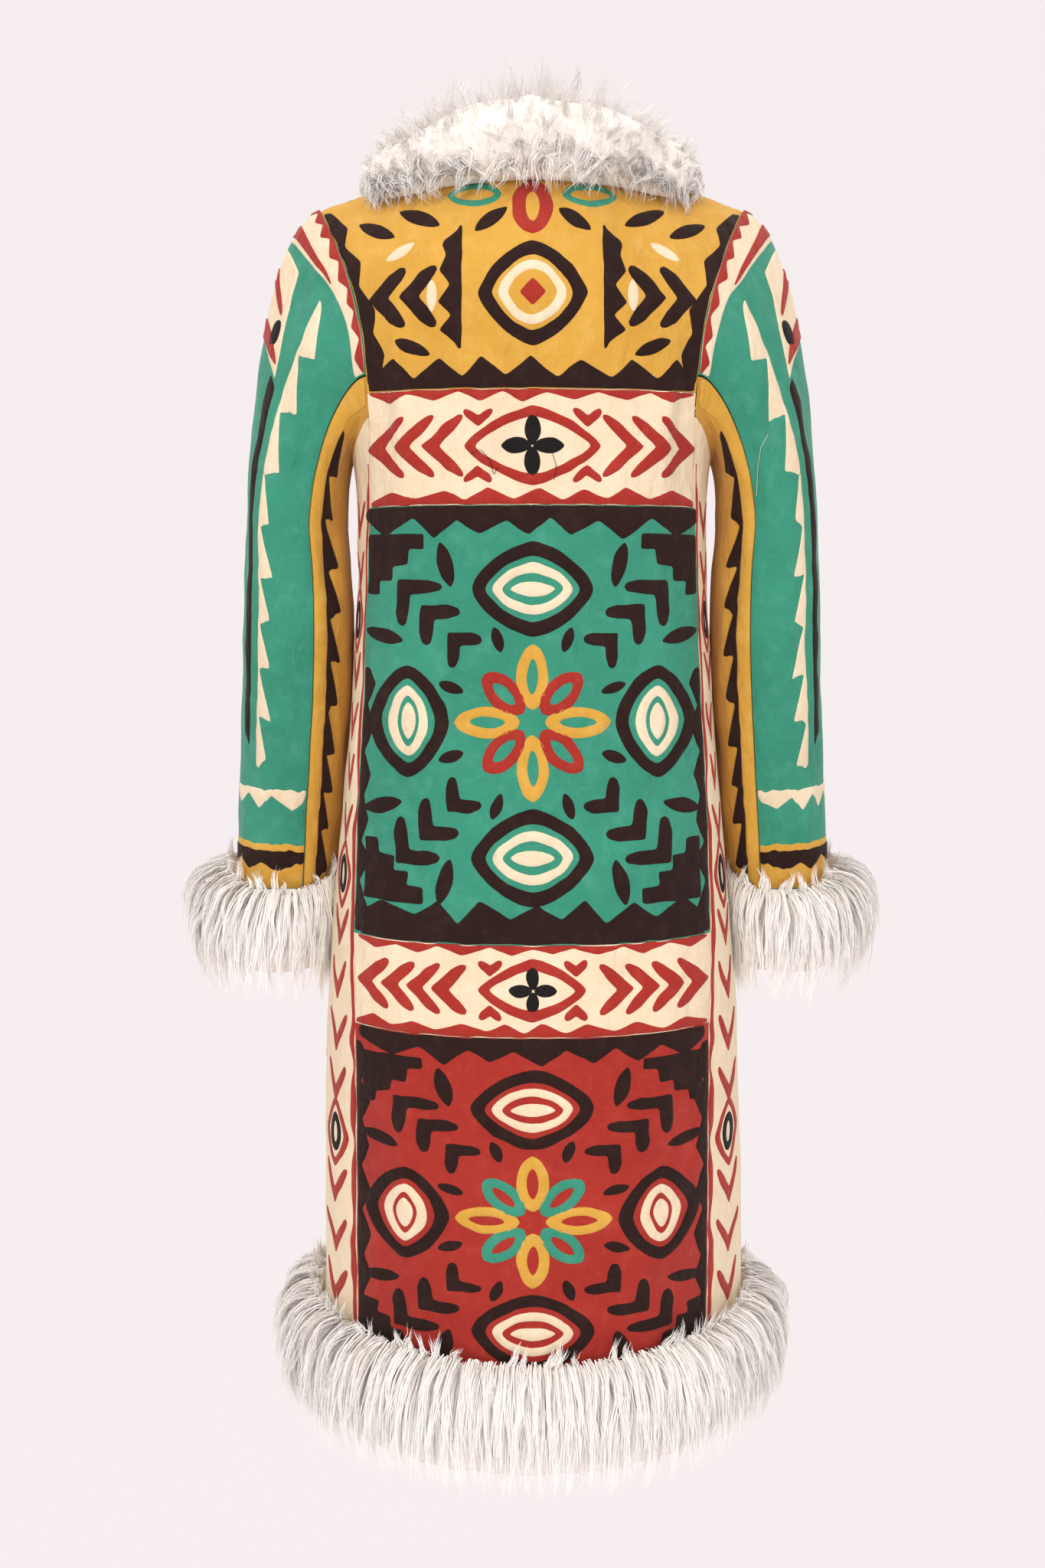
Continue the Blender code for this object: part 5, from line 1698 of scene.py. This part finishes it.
def make_cuffs():
    angles = np.linspace(0, 360, 73)[:-1, None]
    rows = np.linspace(0, 1, 14)[None, :]
    outs, downs = outline_at(CUFF_FUR, rows)
    angle, down, share = np.broadcast_arrays(angles, downs * np.where(downs > 0, 0.68, 0.7), outs)
    skin, way = cuff_place(angle, down, share, np.full(share.shape, 0.60))
    skin = skin + way * lumps(skin, 0.0028, 83)[..., None] * np.minimum(outs * 3, 1)[..., None]
    skin[..., 0] = np.maximum(skin[..., 0], half_width(skin[..., 2]) + ON_CLOTH)
    inner = []
    flat_angle = angles[:, 0]
    for down_in, inset in ((0.064, 0.006), (0.034, 0.0045), (0.0005, 0.0030), (0.0005, -0.0008)):
        ring_points = arm_surface(flat_angle, np.full(flat_angle.shape, SLEEVE_END - down_in), inset)
        clear = ON_CLOTH + 0.006 if down_in > 0.01 else 0.0
        ring_points[:, 0] = np.maximum(ring_points[:, 0], half_width(ring_points[:, 2]) + clear)
        inner.append(ring_points)
    sections = np.concatenate((skin, np.stack(inner, axis=1)), axis=1)
    for hand, name in ((1, "left"), (-1, "right")):
        flip = np.array((hand, 1.0, 1.0))
        ring_mesh(f"cuff_fur_{name}_undercoat", sections * flip, True, f"cuff_fur_{name}")
        draw = np.random.default_rng(500 + hand)
        turn, row = scattered(draw, CUFF_LOCKS, 0.1, 0.9)
        turn = turn * 360
        count = len(turn)
        root_out, root_down = outline_at(CUFF_FUR, 0.01 + 0.50 * row)
        root_down = root_down * np.where(root_down > 0, 0.80, 0.7)
        root, out = cuff_place(turn, root_down, root_out, np.full(count, 0.54))
        share = np.clip(0.52 + 0.46 * row + draw.normal(0, 0.06, count), 0.30, 1.0)
        tip_out, tip_down = outline_at(CUFF_FUR, share)
        drop = np.where(share > 0.75, draw.uniform(-0.012, 0.012, count), 0)
        tip_turn = turn + draw.normal(0, 3.5, count)
        tip, _ = cuff_place(tip_turn, tip_down + drop, tip_out, draw.uniform(0.86, 1.1, count))
        control, _ = cuff_place(turn, -0.030 + 0.078 * row, np.ones(count), draw.uniform(0.94, 1.20, count))
        lifted = ((row < 0.15) & (draw.uniform(0, 1, count) < 0.5))[:, None]
        short_out = draw.uniform(0.10, 0.42, count)
        short, _ = cuff_place(tip_turn, draw.uniform(-0.042, -0.028, count), short_out, np.ones(count))
        tip = np.where(lifted, short, tip)
        control = np.where(lifted, root + out * 0.008 + np.array((0.0, 0.0, 0.005)), control)
        outward = unit(out + np.array((0.0, 0.0, 0.40)))
        facts = lock_facts(draw, count, 0.0022, 1.1)
        locks = Locks(root * flip, control * flip, tip * flip, outward * flip, **facts)
        hair(f"cuff_fur_{name}_hair", locks, SILKY, 511)


Numbered = namedtuple("Numbered", "number value")
SHOULDER_ROW = 3


def collar_value(key, place):
    """One column of the collar's table at a place counted in its rows."""
    rows = [Numbered(float(i), getattr(row, key)) for i, row in enumerate(COLLAR)]
    return float(read_table(rows, "number", "value", np.clip(place, 0, len(COLLAR) - 1)))


def collar_arch(place, turns, fullness=1.0):
    """The collar's foot at one place, and its points from the outer edge over the crest to the neck."""
    keys = ("neck_x", "neck_z", "edge_x", "edge_z", "rise", "puff")
    neck_x, neck_z, edge_x, edge_z, rise, puff = (collar_value(key, place) for key in keys)
    side = 1 if place < SHOULDER_ROW else -1
    foot = []
    for share in COLLAR_FOOT:
        x = neck_x + share * (edge_x - neck_x)
        z = neck_z + share * (edge_z - neck_z)
        x = max(x, FRONT_GAP / 2) if side < 0 else x
        z = min(z, float(ridge(x)))
        point = np.array((x, float(shell_y(np.array(x), np.array(z), side)), z))
        foot.append(point + shell_normal(point, side) * COLLAR_CLEAR)
    edge, neck = foot[0], foot[-1]
    out = edge - neck + np.array((0.0, neck[1] * 0.5, 0.0))
    out[2] = 0.0
    out = unit(out)
    arch = []
    for turn in turns:
        chord = edge + (neck - edge) * (1 - np.cos(turn)) / 2
        lean = puff * np.sin(turn) ** 0.6 * np.cos(turn / 2) ** 2 * fullness
        lift = rise * np.sin(turn) * fullness
        arch.append(chord + out * lean + np.array((0.0, 0.0, lift)))
    return np.array(foot), np.array(arch)


def make_collar():
    places = np.linspace(0, len(COLLAR) - 1, 57)
    turns = np.radians(np.linspace(6, 170, 22))
    last_place, last_row = len(places) - 1, len(turns) - 1
    halves = []
    for place in places:
        foot, arch = collar_arch(place, turns, 0.70)
        halves.append(np.concatenate((foot[::-1], arch)))
    half = np.array(halves)
    flip = np.array((-1.0, 1.0, 1.0))
    sections = np.concatenate((half[:0:-1] * flip, half))
    centre = sections.mean(axis=1, keepdims=True)
    way = unit(sections - centre)
    free = np.ones(sections.shape[1])
    free[: len(COLLAR_FOOT)] = 0.0
    sections = sections + way * (lumps(sections, 0.0045, 85) * free[None, :])[..., None]
    ring_mesh("collar_fur_undercoat", sections, False, "collar_fur")
    shells, feet = [], []
    for place in places:
        foot, arch = collar_arch(place, turns)
        shells.append(arch)
        shares = (1 + np.cos(turns)) / 2
        flat = [np.interp(shares, COLLAR_FOOT[::-1], foot[::-1, k]) for k in range(3)]
        feet.append(np.stack(flat, axis=1))
    shells, feet = np.array(shells), np.array(feet)
    for hand, name in ((1, "left"), (-1, "right")):
        draw = np.random.default_rng(600 + hand)
        place, row = scattered(draw, COLLAR_LOCKS, 0.0, 1.0)
        place, row = place * last_place, row**1.4 * last_row
        count = len(place)
        foot = bilinear(feet, place, row)
        crest = bilinear(shells, place, row)
        low = np.clip(1 - row / 6, 0, 1)
        root = foot + (crest - foot) * (0.55 * low)[:, None]
        sweep = draw.normal(2.6, 1.6, count) + 3.2 * low
        tip_place = np.clip(place + draw.normal(0, 1.6, count), 0, last_place)
        over = bilinear(shells, tip_place, np.clip(row - sweep, 0, last_row))
        tip = foot + (over - foot) * draw.uniform(0.88, 1.13, count)[:, None]
        control = foot + (crest - foot) * (draw.uniform(0.58, 0.88, count) + 0.45 * low)[:, None]
        away = crest - bilinear(feet, place, np.full(count, 12.0))
        flat = unit(away * np.array((1.0, 1.0, 0.0)))
        past = np.clip(sweep - row, 0, 5)
        tip = tip + flat * (0.0020 * np.minimum(past, 2))[:, None]
        tip[:, 2] -= 0.0048 * past
        outward = unit(away + np.array((0.0, 0.0, 0.030)))
        facts = lock_facts(draw, count, 0.0042, 1.6)
        side = np.array((hand, 1.0, 1.0))
        locks = Locks(root * side, control * side, tip * side, outward * side, **facts)
        hair(f"collar_fur_hair_{name}", locks, CURLY, 611 + hand)


def make_camera():
    eye = bpy.data.cameras.new("camera")
    eye.lens = 39.53
    eye.sensor_width = 36.0
    eye.shift_y = -0.1274
    made = bpy.data.objects.new("camera", eye)
    made.location = (0.0085, 1.574, -0.38)
    made.rotation_euler = (np.radians(90), 0, np.radians(180))
    bpy.context.scene.collection.objects.link(made)
    bpy.context.scene.camera = made


FLOOR = -1.75
BACKDROP = (0.905, 0.832, 0.840)
BACKDROP_GLOW = 0.955


def make_stage():
    """A pale floor that curves up into a pale backdrop behind the coat's front, lit evenly from within."""
    made, _, shader = new_material("backdrop")
    shader.inputs["Base Color"].default_value = (0.06, 0.06, 0.06, 1.0)
    shader.inputs["Emission Color"].default_value = (*BACKDROP, 1.0)
    shader.inputs["Emission Strength"].default_value = BACKDROP_GLOW
    shader.inputs["Roughness"].default_value = 1.0
    shader.inputs["Specular IOR Level"].default_value = 0.0
    bend = np.radians(np.linspace(0, 90, 13))
    profile = [(6.0, FLOOR)] + [(-2.2 - 1.5 * np.sin(a), FLOOR + 1.5 * (1 - np.cos(a))) for a in bend]
    profile.append((-3.7, 5.0))
    points = [(x, y, z) for y, z in profile for x in (-7.0, 7.0)]
    faces = [(2 * i, 2 * i + 1, 2 * i + 3, 2 * i + 2) for i in range(len(profile) - 1)]
    mesh = bpy.data.meshes.new("backdrop")
    mesh.from_pydata(points, [], faces)
    mesh.shade_smooth()
    mesh.materials.append(made)
    sheet = bpy.data.objects.new("backdrop", mesh)
    bpy.context.scene.collection.objects.link(sheet)


Lamp = namedtuple("Lamp", "name place target size power colour")
LAMPS = (
    Lamp("key", (1.3, 2.4, 1.9), (0.0, 0.0, -0.45), 1.3, 43.0, (1.0, 0.985, 0.96)),
    Lamp("fill", (-1.9, 2.3, 0.3), (0.0, 0.0, -0.60), 2.4, 8.0, (1.0, 0.98, 0.97)),
    Lamp("top", (0.0, 0.5, 2.3), (0.0, 0.0, -0.20), 2.2, 21.0, (1.0, 0.985, 0.98)),
    Lamp("low", (-0.4, 2.3, -1.35), (0.0, 0.0, -1.00), 1.6, 14.0, (1.0, 0.985, 0.98)),
    Lamp("far_key", (-1.8, -2.3, 1.7), (0.0, 0.0, -0.45), 2.0, 30.0, (1.0, 0.985, 0.97)),
    Lamp("far_fill", (2.0, -2.0, 0.4), (0.0, 0.0, -0.55), 2.4, 8.0, (1.0, 0.985, 0.98)),
)
AMBIENT = (1.0, 0.950, 0.945)
AMBIENT_STRENGTH = 0.72


def make_lights():
    for lamp in LAMPS:
        light = bpy.data.lights.new(lamp.name, "AREA")
        light.shape = "DISK"
        light.size = lamp.size
        light.energy = lamp.power
        light.color = lamp.colour
        made = bpy.data.objects.new(lamp.name, light)
        made.location = lamp.place
        way = Vector(lamp.target) - Vector(lamp.place)
        made.rotation_euler = way.to_track_quat("-Z", "Y").to_euler()
        bpy.context.scene.collection.objects.link(made)
    world = bpy.data.worlds.new("studio")
    world.use_nodes = True
    sky = world.node_tree.nodes["Background"]
    sky.inputs["Color"].default_value = (*AMBIENT, 1.0)
    sky.inputs["Strength"].default_value = AMBIENT_STRENGTH
    bpy.context.scene.world = world
    bpy.context.scene.view_settings.view_transform = "Standard"


make_camera()
make_stage()
make_lights()
make_back()
make_fronts()
make_sides()
make_sleeves()
make_threads()
make_hem()
make_cuffs()
make_collar()
